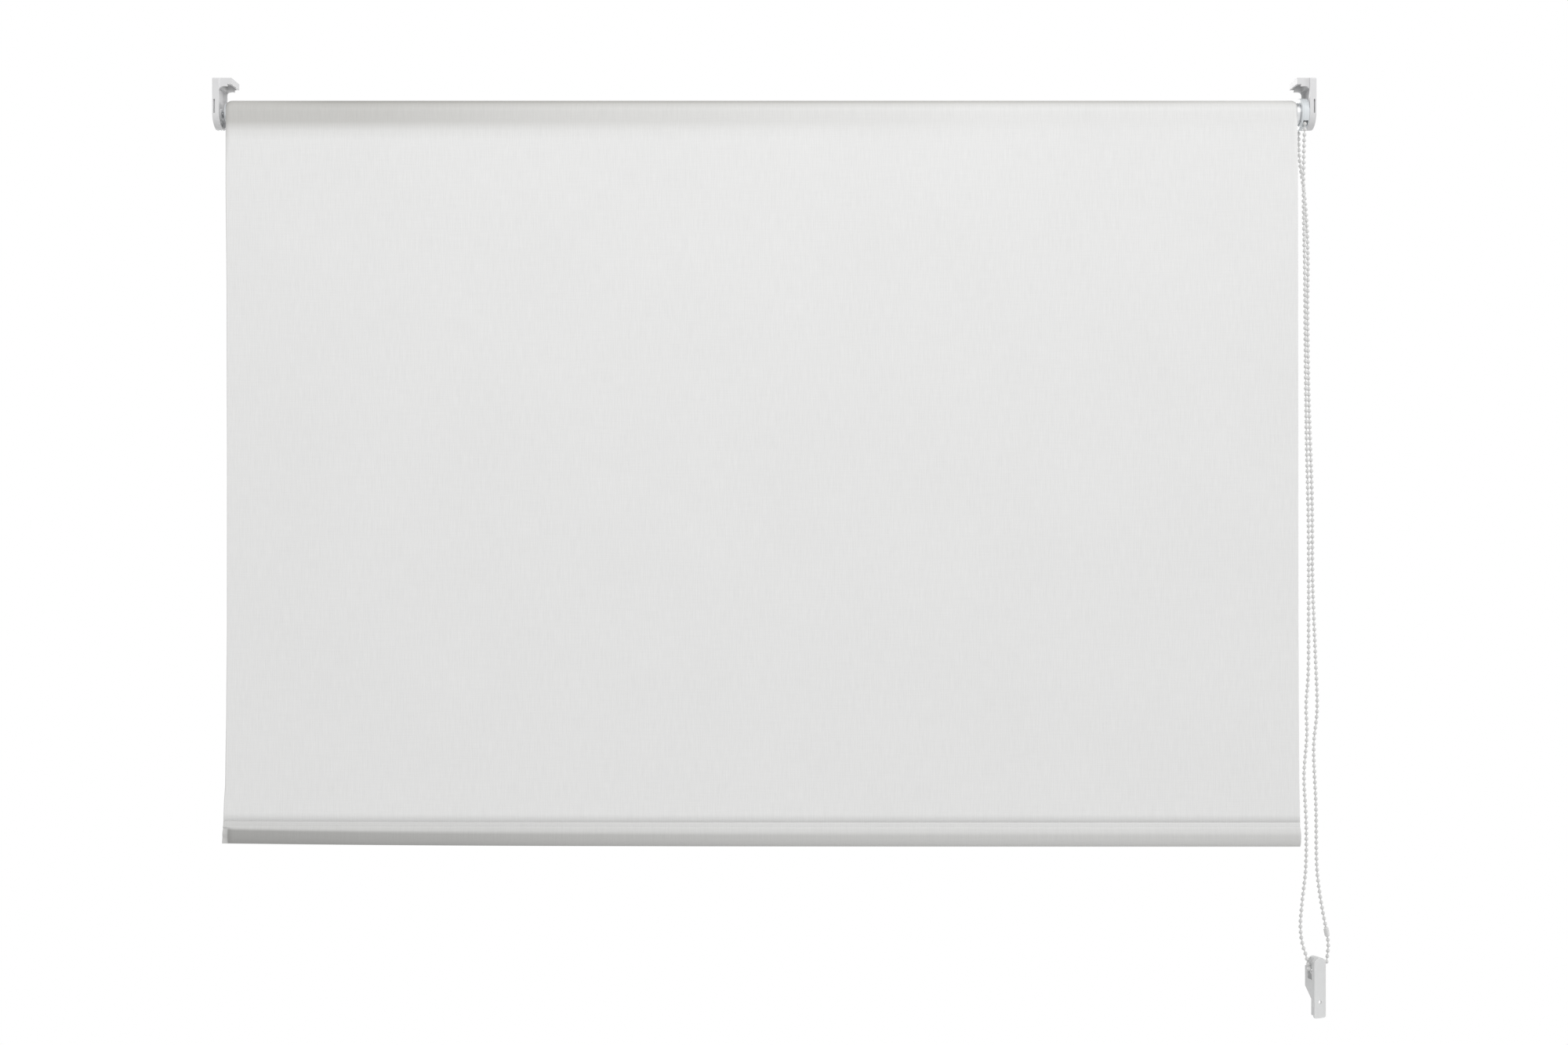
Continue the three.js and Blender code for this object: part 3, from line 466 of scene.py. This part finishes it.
def addBead(bm, centre, direction):
    turn = direction.to_track_quat("Z", "X").to_matrix().to_4x4()
    bmesh.ops.create_uvsphere(
        bm, u_segments=chain["beadSides"], v_segments=chain["beadRings"], radius=chain["beadRadius"] * mm,
        matrix=Matrix.Translation(centre) @ turn,
    )


def addLink(bm, start, end):
    turn = (end - start).normalized().to_track_quat("Z", "X").to_matrix().to_4x4()
    radius = chain["linkRadius"] * mm
    bmesh.ops.create_cone(
        bm, cap_ends=False, segments=chain["linkSides"], radius1=radius, radius2=radius,
        depth=(end - start).length, matrix=Matrix.Translation((start + end) / 2) @ turn,
    )


def beadString(at, count, bare=()):
    # Beads and the links between them along at(share), with no bead at the bare places.
    bm = bmesh.new()
    for k in range(count):
        centre = at((k + 0.5) / count)
        if k not in bare:
            addBead(bm, centre, (at((k + 0.7) / count) - at((k + 0.3) / count)).normalized())
        if k + 1 < count:
            addLink(bm, centre, at((k + 1.5) / count))
    addLink(bm, at(0), at(0.5 / count))
    addLink(bm, at((count - 0.5) / count), at(1))
    for face in bm.faces:
        face.smooth = True
    return bm


loopLength, loopAt = evenLine(routePoints, chain["routeSteps"])
beadCount = round(loopLength / (chain["pitch"] * mm))
seat = chain["connectorSeat"]
chainLoop = makePiece(
    "chainLoop", beadString(loopAt, beadCount, (seat, seat + 1)), [chainPlastic], "root",
    ["bead_chain"],
)


def overWheel(share):
    # Up the room side, over the wheel's top half and down behind it.
    beads = share * chain["wheelBeads"] - chain["straightBeads"]
    radius, half = pitchRadius * mm, chain["pockets"] / 2
    if beads < 0:
        return wheelMiddle + Vector((0, -radius, beads * chain["pitch"] * mm))
    if beads > half:
        return wheelMiddle + Vector((0, radius, -(beads - half) * chain["pitch"] * mm))
    angle = beads / half * math.pi
    return wheelMiddle + Vector((0, -radius * math.cos(angle), radius * math.sin(angle)))


makePiece(
    "chainOverWheel", beadString(overWheel, chain["wheelBeads"]), [chainPlastic], "root",
    ["chain_on_wheel"],
)
joiner = finishedCopy(
    "chainJoiner", "chain_connector", chainPlastic, "root", edge=0.25,
)
tensioner = finishedCopy(
    "clearTensioner", "chain_tensioner", clearPlastic, "root", edge=0.3,
)
tensionerGate = finishedCopy(
    "tensionerGate", "tensioner_gate", clearPlastic, "root", edge=0.3,
)
loopPath = [tuple(loopAt(k / chain["pathSteps"])) for k in range(chain["pathSteps"] + 1)]
print("chain done:", beadCount, "beads,", round(loopLength, 3), "m")

# Cloth, in millimetres
cloth = {
    "start": 10.4,
    "end": 1175.7,
    "thickness": 0.45,
    "leaveRadius": 15.0,  # of the outer layer where it leaves the roll
    "tuckRadius": 14.6,  # and one turn further in
    "rollRadius": 14.2,  # of the layers under it
    "tubeRadius": 12.8,
    "wrapTurn": 348,  # degrees of the outer layer round the roll
    "plane": -15.225,  # in Y, of the hanging cloth's middle
    "hemTop": -811.0,
    "columns": 150,
    "dropRows": 76,
    "wrapRows": 52,
    "edgeReach": 60,  # the edges' sideways drift dies out over this width
    "endDrop": 1.4,  # how far the wound layers close in on the tube at their two ends
    "endReach": 4.5,
    "endHang": 70,  # below the axis, where the hanging cloth's corners have come forward again
    "waveHeight": 0.25,  # of the slight wave down the hanging cloth
    "waveAcross": 0.021,
    "waveDown": 0.004,
    "riseStart": 300,  # below the axis, where the cloth begins to follow the hem's raised end
    "blendEnds": (-53.5, -800),  # from staying with the roll to going with the hem
}
clothWidth = cloth["end"] - cloth["start"]
# How far each side edge of the hanging cloth lies from its place at the roll, by depth below the axis.
leftDrift = [
    (0, -0.9), (60, -0.7), (220, 0.4), (390, 0.8), (560, 0.8), (646, 0.1), (723, -0.9),
    (766, -2.8), (800, -4.2),
]
rightDrift = [
    (0, 0), (220, 0.4), (390, 0.6), (560, 0.7), (600, 1), (690, 1.3), (723, 1.6), (773, 2.4), (800, 2.2),
]
# The hem's idle end hangs higher, its foot more than its seam; the depths are below the origin.
hemTilt = {"seam": 1.5, "foot": 3.75, "fade": 230, "seamDepth": 810, "footDepth": 834, "barDepth": 827}
# Painted shade, by x: how light the cloth is painted with something behind it, over the roll, in the seam
# and over the bar; darkest at the idle end, where less light falls.
paintedShadeShare = {
    "roll": [(0, 0.69), (150, 0.71), (370, 0.82), (600, 0.9), (840, 0.97), (1200, 0.98)],
    # painted shade on the roll's top, times roll
    "crest": [(0, 0.94), (120, 0.69), (600, 0.66), (1000, 0.68), (1200, 0.85)],
    "seam": [(0, 0.86), (300, 0.88), (600, 0.94), (1200, 0.97)],
    "bar": [(0, 0.47), (150, 0.52), (360, 0.6), (600, 0.68), (840, 0.73), (1200, 0.77)],
}
# The painted shade is warm there: it takes out some blue as it gets greyer.
paintedShadeWarmth = {"roll": 0.12, "bar": 0.05}  # how much blue the cloth loses there as it gets greyer
paintedShadeGreenLoss = 0.25  # of what the blue loses
# Heights between which the roll's painted shade fades out downwards, and the painted shade on its top fades
# in upwards.
rollShadeFade = {"foot": (-46, -63), "crestStart": (-35, -28), "crestFull": (-29, -24.5), "crestShare": 0.35}


def fromTable(table, value, easing):
    for (a, va), (b, vb) in zip(table, table[1:]):
        if value <= b:
            return va + (vb - va) * easing(value, a, b)
    return table[-1][1]


def evenStep(value, start, end):
    return max(0, value - start) / (end - start)


def driftedX(x, depth):
    # x and depth below the axis in millimetres
    reach = cloth["edgeReach"]
    left = max(0, 1 - (x - cloth["start"]) / reach) ** 2
    right = max(0, 1 - (cloth["end"] - x) / reach) ** 2
    return x + left * fromTable(leftDrift, depth, softStep) + right * fromTable(rightDrift, depth, softStep)


def hemRise(x, z=-hemTilt["barDepth"]):
    foot = softStep(-z, hemTilt["seamDepth"], hemTilt["footDepth"])
    rise = hemTilt["seam"] + (hemTilt["foot"] - hemTilt["seam"]) * foot
    return rise * math.exp(-x / hemTilt["fade"])


def paintedShadeLevel(name, x):
    return fromTable(paintedShadeShare[name], x, evenStep)


def addPaintedShade(piece, levelAt, warm):
    # levelAt(place in millimetres) gives each point's level of painted shade, kept as a colour attribute
    levels = piece.data.attributes.new("paintedShade", "FLOAT_COLOR", "POINT")
    for vert in piece.data.vertices:
        level = levelAt(vert.co / mm)
        lost = warm * (1 - level)
        levels.data[vert.index].color = (level, level * (1 - paintedShadeGreenLoss * lost), level * (1 - lost), 1)


def rollPaintedShade(place):
    # Painted shade over the roll, darker still on its top and towards the idle end.
    share = 1 - softStep(place.z, *rollShadeFade["foot"])
    start = softStep(place.z, *rollShadeFade["crestStart"])
    full = softStep(place.z, *rollShadeFade["crestFull"])
    rise = start * rollShadeFade["crestShare"] + full * (1 - rollShadeFade["crestShare"])
    crest = 1 - (1 - paintedShadeLevel("crest", place.x)) * rise
    return (1 - (1 - paintedShadeLevel("roll", place.x)) * share) * crest


def endShare(x):
    # 1 at either end of the cloth, 0 from the drop's reach inwards
    fromEnd = min(x - cloth["start"], cloth["end"] - x)
    return min(max(1 - fromEnd / cloth["endReach"], 0), 1)


wrapLength = math.radians(cloth["wrapTurn"]) * (cloth["leaveRadius"] + cloth["tuckRadius"]) / 2
dropLength = axisHeight - cloth["hemTop"]
totalRows = cloth["dropRows"] + cloth["wrapRows"]
wrapShare = cloth["wrapRows"] / totalRows


def clothPlace(a, b):
    # b runs from the hem up the drop, then over the roll.
    x = cloth["start"] + clothWidth * a
    if b <= 1 - wrapShare:
        share = b / (1 - wrapShare)
        depth = dropLength * (1 - share)
        lift = hemRise(x, axisHeight - depth) * softStep(depth, cloth["riseStart"], dropLength)
        y = cloth["plane"] + (-cloth["leaveRadius"] - cloth["plane"]) * softStep(share, 0.5, 1)
        phase = x * cloth["waveAcross"] + depth * cloth["waveDown"]
        wave = cloth["waveHeight"] * math.sin(phase) * math.sin(math.pi * share) ** 2
        corner = cloth["endDrop"] * endShare(x) ** 2 * (1 - softStep(depth, 0, cloth["endHang"]))
        return Vector((driftedX(x, depth), y + wave + corner, axisHeight - depth + lift)) * mm
    share = (b - 1 + wrapShare) / wrapShare
    angle = math.pi - math.radians(cloth["wrapTurn"]) * share  # from the room side up and over
    radius = cloth["leaveRadius"] + (cloth["tuckRadius"] - cloth["leaveRadius"]) * share
    radius -= cloth["endDrop"] * endShare(x) ** 2
    z = axisHeight + radius * math.sin(angle)
    return Vector((driftedX(x, 0), radius * math.cos(angle), z)) * mm


def clothMapping(a, b):
    x = clothWidth * a
    if b <= 1 - wrapShare:
        return (x * mm, dropLength * b / (1 - wrapShare) * mm)
    return (x * mm, (dropLength + wrapLength * (b - 1 + wrapShare) / wrapShare) * mm)


def thicken(piece):
    # the sheet's middle surface gets the cloth's thickness, with the cut edge's finish on its rim
    walls = piece.modifiers.new("thickness", "SOLIDIFY")
    walls.thickness = cloth["thickness"] * mm
    walls.offset = 0
    walls.material_offset_rim = 1


clothBmesh = clothGrid(cloth["columns"], totalRows, clothPlace, clothMapping)
clothDrop = makePiece(
    "clothDrop", clothBmesh, [blackoutCloth, cutEdge], None, ["cloth_panel"],
)
# Painted shade over the roll on the hanging cloth.
addPaintedShade(clothDrop, rollPaintedShade, paintedShadeWarmth["roll"])
thicken(clothDrop)
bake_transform(clothDrop)
print("hanging cloth done")

# The wound layers under the outer one: their edges show as fine rings at both ends, each layer
# kept under the outer one where that closes in on the tube.
roll = {
    "layers": 4,
    "edgeStep": 0.2,  # how far one layer's edge may lie behind another's
    "edgeTurn": 2.4,  # how fast that changes from layer to layer
    "groove": 0.06,  # between two layers
    "round": 0.1,  # of a layer's outer corner
    "skin": 0.35,  # how deep the groove is
    "clearance": 0.15,  # under the outer layer
    "idleInset": 0.3,
    "chainInset": 0.6,
    "bands": 12,
    "steps": 96,
    "mapRadius": 16,
    "endFace": 0.2,  # a face whose normal leans this far to the end shows the cut edge
}


def layerEnd(radius):
    # how far in from the cloth's end a layer of this radius may start
    under = cloth["tuckRadius"] - cloth["thickness"] / 2 - roll["clearance"] - radius
    return cloth["endReach"] * (1 - math.sqrt(min(max(under / cloth["endDrop"], 0), 1)))


def layerProfile():
    # (radius, distance in from the roll's end) rows from the tube out to the surface
    rows = []
    pitch = (cloth["rollRadius"] - cloth["tubeRadius"]) / roll["layers"]
    for k in range(roll["layers"]):
        inner = cloth["tubeRadius"] + k * pitch
        outer = inner + pitch
        sink = layerEnd(outer) + roll["edgeStep"] * (0.5 + 0.5 * math.sin(k * roll["edgeTurn"]))
        rows += [(inner + roll["groove"], sink + roll["skin"]), (inner + 2 * roll["groove"], sink)]
        rows += [(outer - roll["round"], sink), (outer, sink + roll["skin"])]
    return rows


rollBmesh = bmesh.new()
profile = layerProfile()
outline = [(r, cloth["start"] + d + roll["idleInset"]) for r, d in profile]
for k in range(1, roll["bands"]):
    outline.append((cloth["rollRadius"], cloth["start"] + clothWidth * k / roll["bands"]))
outline += [(r, cloth["end"] - d - roll["chainInset"]) for r, d in reversed(profile)]
corners = [rollBmesh.verts.new(Vector((x, 0, r + axisHeight)) * mm) for r, x in outline]
for a, b in zip(corners, corners[1:] + corners[:1]):
    rollBmesh.edges.new((a, b))
bmesh.ops.spin(
    rollBmesh, geom=rollBmesh.verts[:] + rollBmesh.edges[:], cent=axis, axis=(1, 0, 0), angle=fullTurn,
    steps=roll["steps"], use_merge=True,
)
bmesh.ops.remove_doubles(rollBmesh, verts=rollBmesh.verts, dist=hardEdges["weld"])
bmesh.ops.recalc_face_normals(rollBmesh, faces=rollBmesh.faces)
shadeByAngle(rollBmesh, 50)
mapLayer = rollBmesh.loops.layers.uv.new("clothMap")
for face in rollBmesh.faces:
    face.material_index = 1 if abs(face.normal.x) > roll["endFace"] else 0
    for loop in face.loops:
        place = loop.vert.co - axis
        turn = math.atan2(place.y, place.z)
        loop[mapLayer].uv = (place.x, turn * roll["mapRadius"] * mm + math.hypot(place.y, place.z))
woundRoll = makePiece(
    "woundRoll", rollBmesh, [blackoutCloth, cutEdge], "roller", ["wound_cloth"],
)
# Painted shade over the roll on the wound layers.
addPaintedShade(woundRoll, rollPaintedShade, paintedShadeWarmth["roll"])
print("roll done")

# Hem, in millimetres
hem = {
    "top": -810.0,
    "topLip": 1.2,
    "topGap": 0.1,
    "seamFoot": -814.5,
    "layerGap": 0.3,  # of each welded layer's middle from the cloth's plane
    "barCentre": -826.9,
    "halfDepth": 4.5,  # of the pocket's middle surface
    "halfHeight": 9.1,
    "shoulder": 0.88,  # of the half height, where the pocket has its full depth
    "neckSteps": 14,
    "bendSteps": 24,
    "emptyEnd": 10,  # without the bar the pocket flattens over this width at its idle end
    "emptyStart": 0.5,
    "emptyDepth": 0.2,  # of the full pocket's depth
    "foldDepth": 0.7,
    "foldTurn": 0.55,
    "bodyFade": 4,
    "weldLines": [-812.1, -814.7],
    "weldHalf": 0.7,
    "weldDepth": 0.16,
    "weldLevel": 0.96,
    "columns": 150,
    "rows": 124,
}
# Depths between which the painted shade over the bar comes in, and how far the raised idle end shifts them.
hemShadeFade = {
    "start": 819, "startLift": 2.5, "full": 825, "fullLift": 5.0, "ends": (1.2, 3),
    "seam": (812, 818), "seamLoss": 0.1,
}


def pocketProfile():
    # (offset in Y, Z) along the folded layer: down the front, round the bar and up the back
    neck, deep, high = hem["layerGap"], hem["halfDepth"], hem["halfHeight"]
    a, b = Vector((-neck, hem["seamFoot"])), Vector((-deep, hem["barCentre"] + high * hem["shoulder"]))
    c = Vector((-deep, hem["barCentre"]))
    front = [Vector((-hem["topGap"], hem["top"])), Vector((-neck, hem["top"] - hem["topLip"])), a]
    for k in range(1, hem["neckSteps"] + 1):
        t = k / hem["neckSteps"]
        front.append(a * (1 - t) ** 2 + b * 2 * t * (1 - t) + c * t * t)
    bend = []
    for k in range(1, hem["bendSteps"] + 1):
        angle = math.pi + math.pi * k / hem["bendSteps"]
        bend.append(Vector((deep * math.cos(angle), hem["barCentre"] + high * math.sin(angle))))
    return front + bend + [Vector((-row.x, row.y)) for row in reversed(front[:-1])]


pocketRows = pocketProfile()
pocketSums = [0.0]
for a, b in zip(pocketRows, pocketRows[1:]):
    pocketSums.append(pocketSums[-1] + (b - a).length)


def pocketAt(share):
    goal = share * pocketSums[-1]
    for k in range(len(pocketRows) - 1):
        if goal <= pocketSums[k + 1] + 1e-9:
            part = (goal - pocketSums[k]) / (pocketSums[k + 1] - pocketSums[k])
            return pocketRows[k].lerp(pocketRows[k + 1], part)
    return pocketRows[-1]


def weldShare(z):
    # 1 on a weld line, 0 beside it
    return max(max(1 - abs(z - line) / hem["weldHalf"], 0) for line in hem["weldLines"])


def pocketPlace(a, b):
    x = cloth["start"] + clothWidth * a
    offset, z = pocketAt(1 - b)
    full = softStep(x - cloth["start"], hem["emptyStart"], hem["emptyEnd"])
    full = hem["emptyDepth"] + (1 - hem["emptyDepth"]) * full
    fold = (1 - full) * hem["foldDepth"] * math.sin((z - hem["top"]) * hem["foldTurn"])
    body = softStep(z, hem["seamFoot"], hem["seamFoot"] - hem["bodyFade"])
    y = cloth["plane"] + offset * (1 - body + body * full) + fold * body
    y -= math.copysign(hem["weldDepth"], offset) * weldShare(z)
    return Vector((driftedX(x, axisHeight - z), y, z + hemRise(x, z))) * mm


def hemPaintedShade(place):
    # Painted shade over the seam band and the bar, with the weld lines a little darker still.
    # places as the cloth hangs at rest, with the idle end's rise taken off again
    z = place.z - hemRise(place.x, place.z)
    lifted = math.exp(-place.x / hemTilt["fade"])
    start, full = (hemShadeFade[key] - hemShadeFade[key + "Lift"] * lifted for key in ("start", "full"))
    over = softStep(-z, start, full) * softStep(place.x - cloth["start"], *hemShadeFade["ends"])
    seam = paintedShadeLevel("seam", place.x) * (1 - hemShadeFade["seamLoss"] * softStep(-z, *hemShadeFade["seam"]))
    level = seam + (paintedShadeLevel("bar", place.x) - seam) * over
    return level * (1 - (1 - hem["weldLevel"]) * weldShare(z))


def pocketMapping(a, b):
    return (clothWidth * a * mm, -pocketSums[-1] * (1 - b) * mm)


pocketBmesh = clothGrid(hem["columns"], hem["rows"], pocketPlace, pocketMapping)
hemPocket = makePiece(
    "hemPocket", pocketBmesh, [blackoutCloth, cutEdge], "hem", ["hem_pocket"],
)
# Painted shade over the seam band and the bar.
addPaintedShade(hemPocket, hemPaintedShade, paintedShadeWarmth["bar"])
thicken(hemPocket)


def withHem(place):
    return Vector((place.x, place.y, place.z + hemRise(place.x / mm) * mm))


hemParts = [  # name, node, material, slot, rounding in millimetres
    ("bottomBar", "bottom_bar", barAluminium, "bar_aluminium", 0.2),
    ("barCapIdle", "bar_cap_idle", bracketPlastic, "bracket_plastic", 0.4),
    ("barCapChain", "bar_cap_chain", bracketPlastic, "bracket_plastic", 0.4),
]
for name, node, material, slotName, edge in hemParts:
    finishedCopy(name, node, material, "hem", edge, shape=withHem)
print("hem done")

# Brackets, tube and clutch
hardParts = [  # name, node, material, body, slot, rounding in millimetres
    ("idleBracket", "idle_bracket", bracketPlastic, "root", "bracket_plastic", 0.4),
    ("chainBracket", "chain_bracket", bracketPlastic, "root", "bracket_plastic", 0.4),
    ("rollerTube", "roller_tube", tubeAluminium, "roller", "tube_aluminium", 0.15),
    ("clothTape", "cloth_tape", tapePlastic, "roller", "tape_plastic", 0.1),
    ("idlePlug", "idle_plug", clutchPlastic, "roller", "clutch_plastic", 0.25),
    ("idlePlugCap", "idle_plug_cap", clutchPlastic, "roller", "clutch_plastic", 0.25),
    ("idlePin", "idle_pin", pinSteel, "idle_pin", "pin_steel", 0.2),
    ("clutchHousing", "clutch_housing", clutchPlastic, "root", "clutch_plastic", 0.25),
    ("clutchCover", "clutch_cover", clutchPlastic, "root", "clutch_plastic", 0.2),
    ("chainWheel", "chain_wheel", clutchPlastic, "roller", "clutch_plastic", 0.15),
    ("tubeAdapter", "tube_adapter", clutchPlastic, "roller", "clutch_plastic", 0.2),
    ("clutchCore", "clutch_core", clutchPlastic, "root", "clutch_plastic", 0.25),
    ("coreClip", "core_clip", pinSteel, "root", "pin_steel", 0.12),
    ("brakeSpringOuter", "brake_spring_1", pinSteel, "root", "pin_steel", 0),
    ("brakeSpringInner", "brake_spring_2", pinSteel, "root", "pin_steel", 0),
]
for name, node, material, body, slotName, edge in hardParts:
    finishedCopy(name, node, material, body, edge)
# The spring gets no body; its transform is baked into its mesh.
pinSpring = finishedCopy("pinSpring", "idle_spring", pinSteel, None, 0)
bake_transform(pinSpring)
print("hard parts done")

# Floor, world and lamps
studio = {
    "floorPlace": (0.6, -0.7, -1.95),
    "floorSize": (7, 6.6),
    "floorColour": (0.9, 0.9, 0.9),
    "ambient": 0.58,
    "keyPlace": (0.85, -1.9, 1.45),
    "keyAim": (0.6, 0, -0.45),
    "keySize": 1.6,
    "keyPower": 25,
    "suns": {  # name: direction that the light comes from, strength
        "side": ((0.93, -0.34, 0.12), 0.9),
        "back": ((-0.35, 0.93, 0.05), 0.9),
    },
    "sunSpread": 25,  # degrees
    "floorGlow": 0.36,  # makes the floor as pale as the background, for the rays that see it
}


def backgroundRays(tree):
    # 1 for the rays that see the background: straight, in gloss or through glass
    path = tree.nodes.new("ShaderNodeLightPath")
    either = mathNode(tree, "MAXIMUM", path.outputs["Is Camera Ray"], path.outputs["Is Glossy Ray"])
    return mathNode(tree, "MAXIMUM", either, path.outputs["Is Transmission Ray"])


floorBmesh = bmesh.new()
bmesh.ops.create_grid(floorBmesh, x_segments=1, y_segments=1, size=0.5)
bmesh.ops.transform(
    floorBmesh, verts=floorBmesh.verts,
    matrix=Matrix.Translation(studio["floorPlace"]) @ Matrix.Diagonal((*studio["floorSize"], 1, 1)),
)
floorMesh = bpy.data.meshes.new("paleFloor")
floorBmesh.to_mesh(floorMesh)
floorBmesh.free()
paleFloor = bpy.data.objects.new("paleFloor", floorMesh)
floorMaterial = bpy.data.materials.new("paleFloor")
floorMaterial.use_nodes = True
floorShader = floorMaterial.node_tree.nodes["Principled BSDF"]
floorShader.inputs["Base Color"].default_value = (*studio["floorColour"], 1)
floorShader.inputs["Roughness"].default_value = 0.8
floorShader.inputs["Emission Color"].default_value = (1, 1, 1, 1)
floorRays = backgroundRays(floorMaterial.node_tree)
glow = mathNode(floorMaterial.node_tree, "MULTIPLY", floorRays, studio["floorGlow"])
floorMaterial.node_tree.links.new(glow, floorShader.inputs["Emission Strength"])
floorMesh.materials.append(floorMaterial)
scene.collection.objects.link(paleFloor)

world = bpy.data.worlds.new("whiteRoom")
world.use_nodes = True
scene.world = world
tree = world.node_tree
tree.nodes.clear()
surround = tree.nodes.new("ShaderNodeBackground")
surround.inputs["Color"].default_value = (1, 1, 1, 1)
surround.inputs["Strength"].default_value = studio["ambient"]
seen = tree.nodes.new("ShaderNodeBackground")
seen.inputs["Color"].default_value = (1, 1, 1, 1)
seen.inputs["Strength"].default_value = 1
pick = tree.nodes.new("ShaderNodeMixShader")
output = tree.nodes.new("ShaderNodeOutputWorld")
tree.links.new(backgroundRays(tree), pick.inputs[0])
tree.links.new(surround.outputs[0], pick.inputs[1])
tree.links.new(seen.outputs[0], pick.inputs[2])
tree.links.new(pick.outputs[0], output.inputs[0])

lampData = bpy.data.lights.new("key", "AREA")
lampData.energy = studio["keyPower"]
lampData.shape = "SQUARE"
lampData.size = studio["keySize"]
lamp = bpy.data.objects.new("key", lampData)
lamp.location = studio["keyPlace"]
lampWay = Vector(studio["keyAim"]) - Vector(studio["keyPlace"])
lamp.rotation_euler = lampWay.to_track_quat("-Z", "Y").to_euler()
scene.collection.objects.link(lamp)
for name, (origin, strength) in studio["suns"].items():
    sunData = bpy.data.lights.new(name, "SUN")
    sunData.energy = strength
    sunData.angle = math.radians(studio["sunSpread"])
    sun = bpy.data.objects.new(name, sunData)
    sun.rotation_euler = (-Vector(origin)).to_track_quat("-Z", "Y").to_euler()
    scene.collection.objects.link(sun)
scene.view_settings.view_transform = "Standard"
print("studio done")
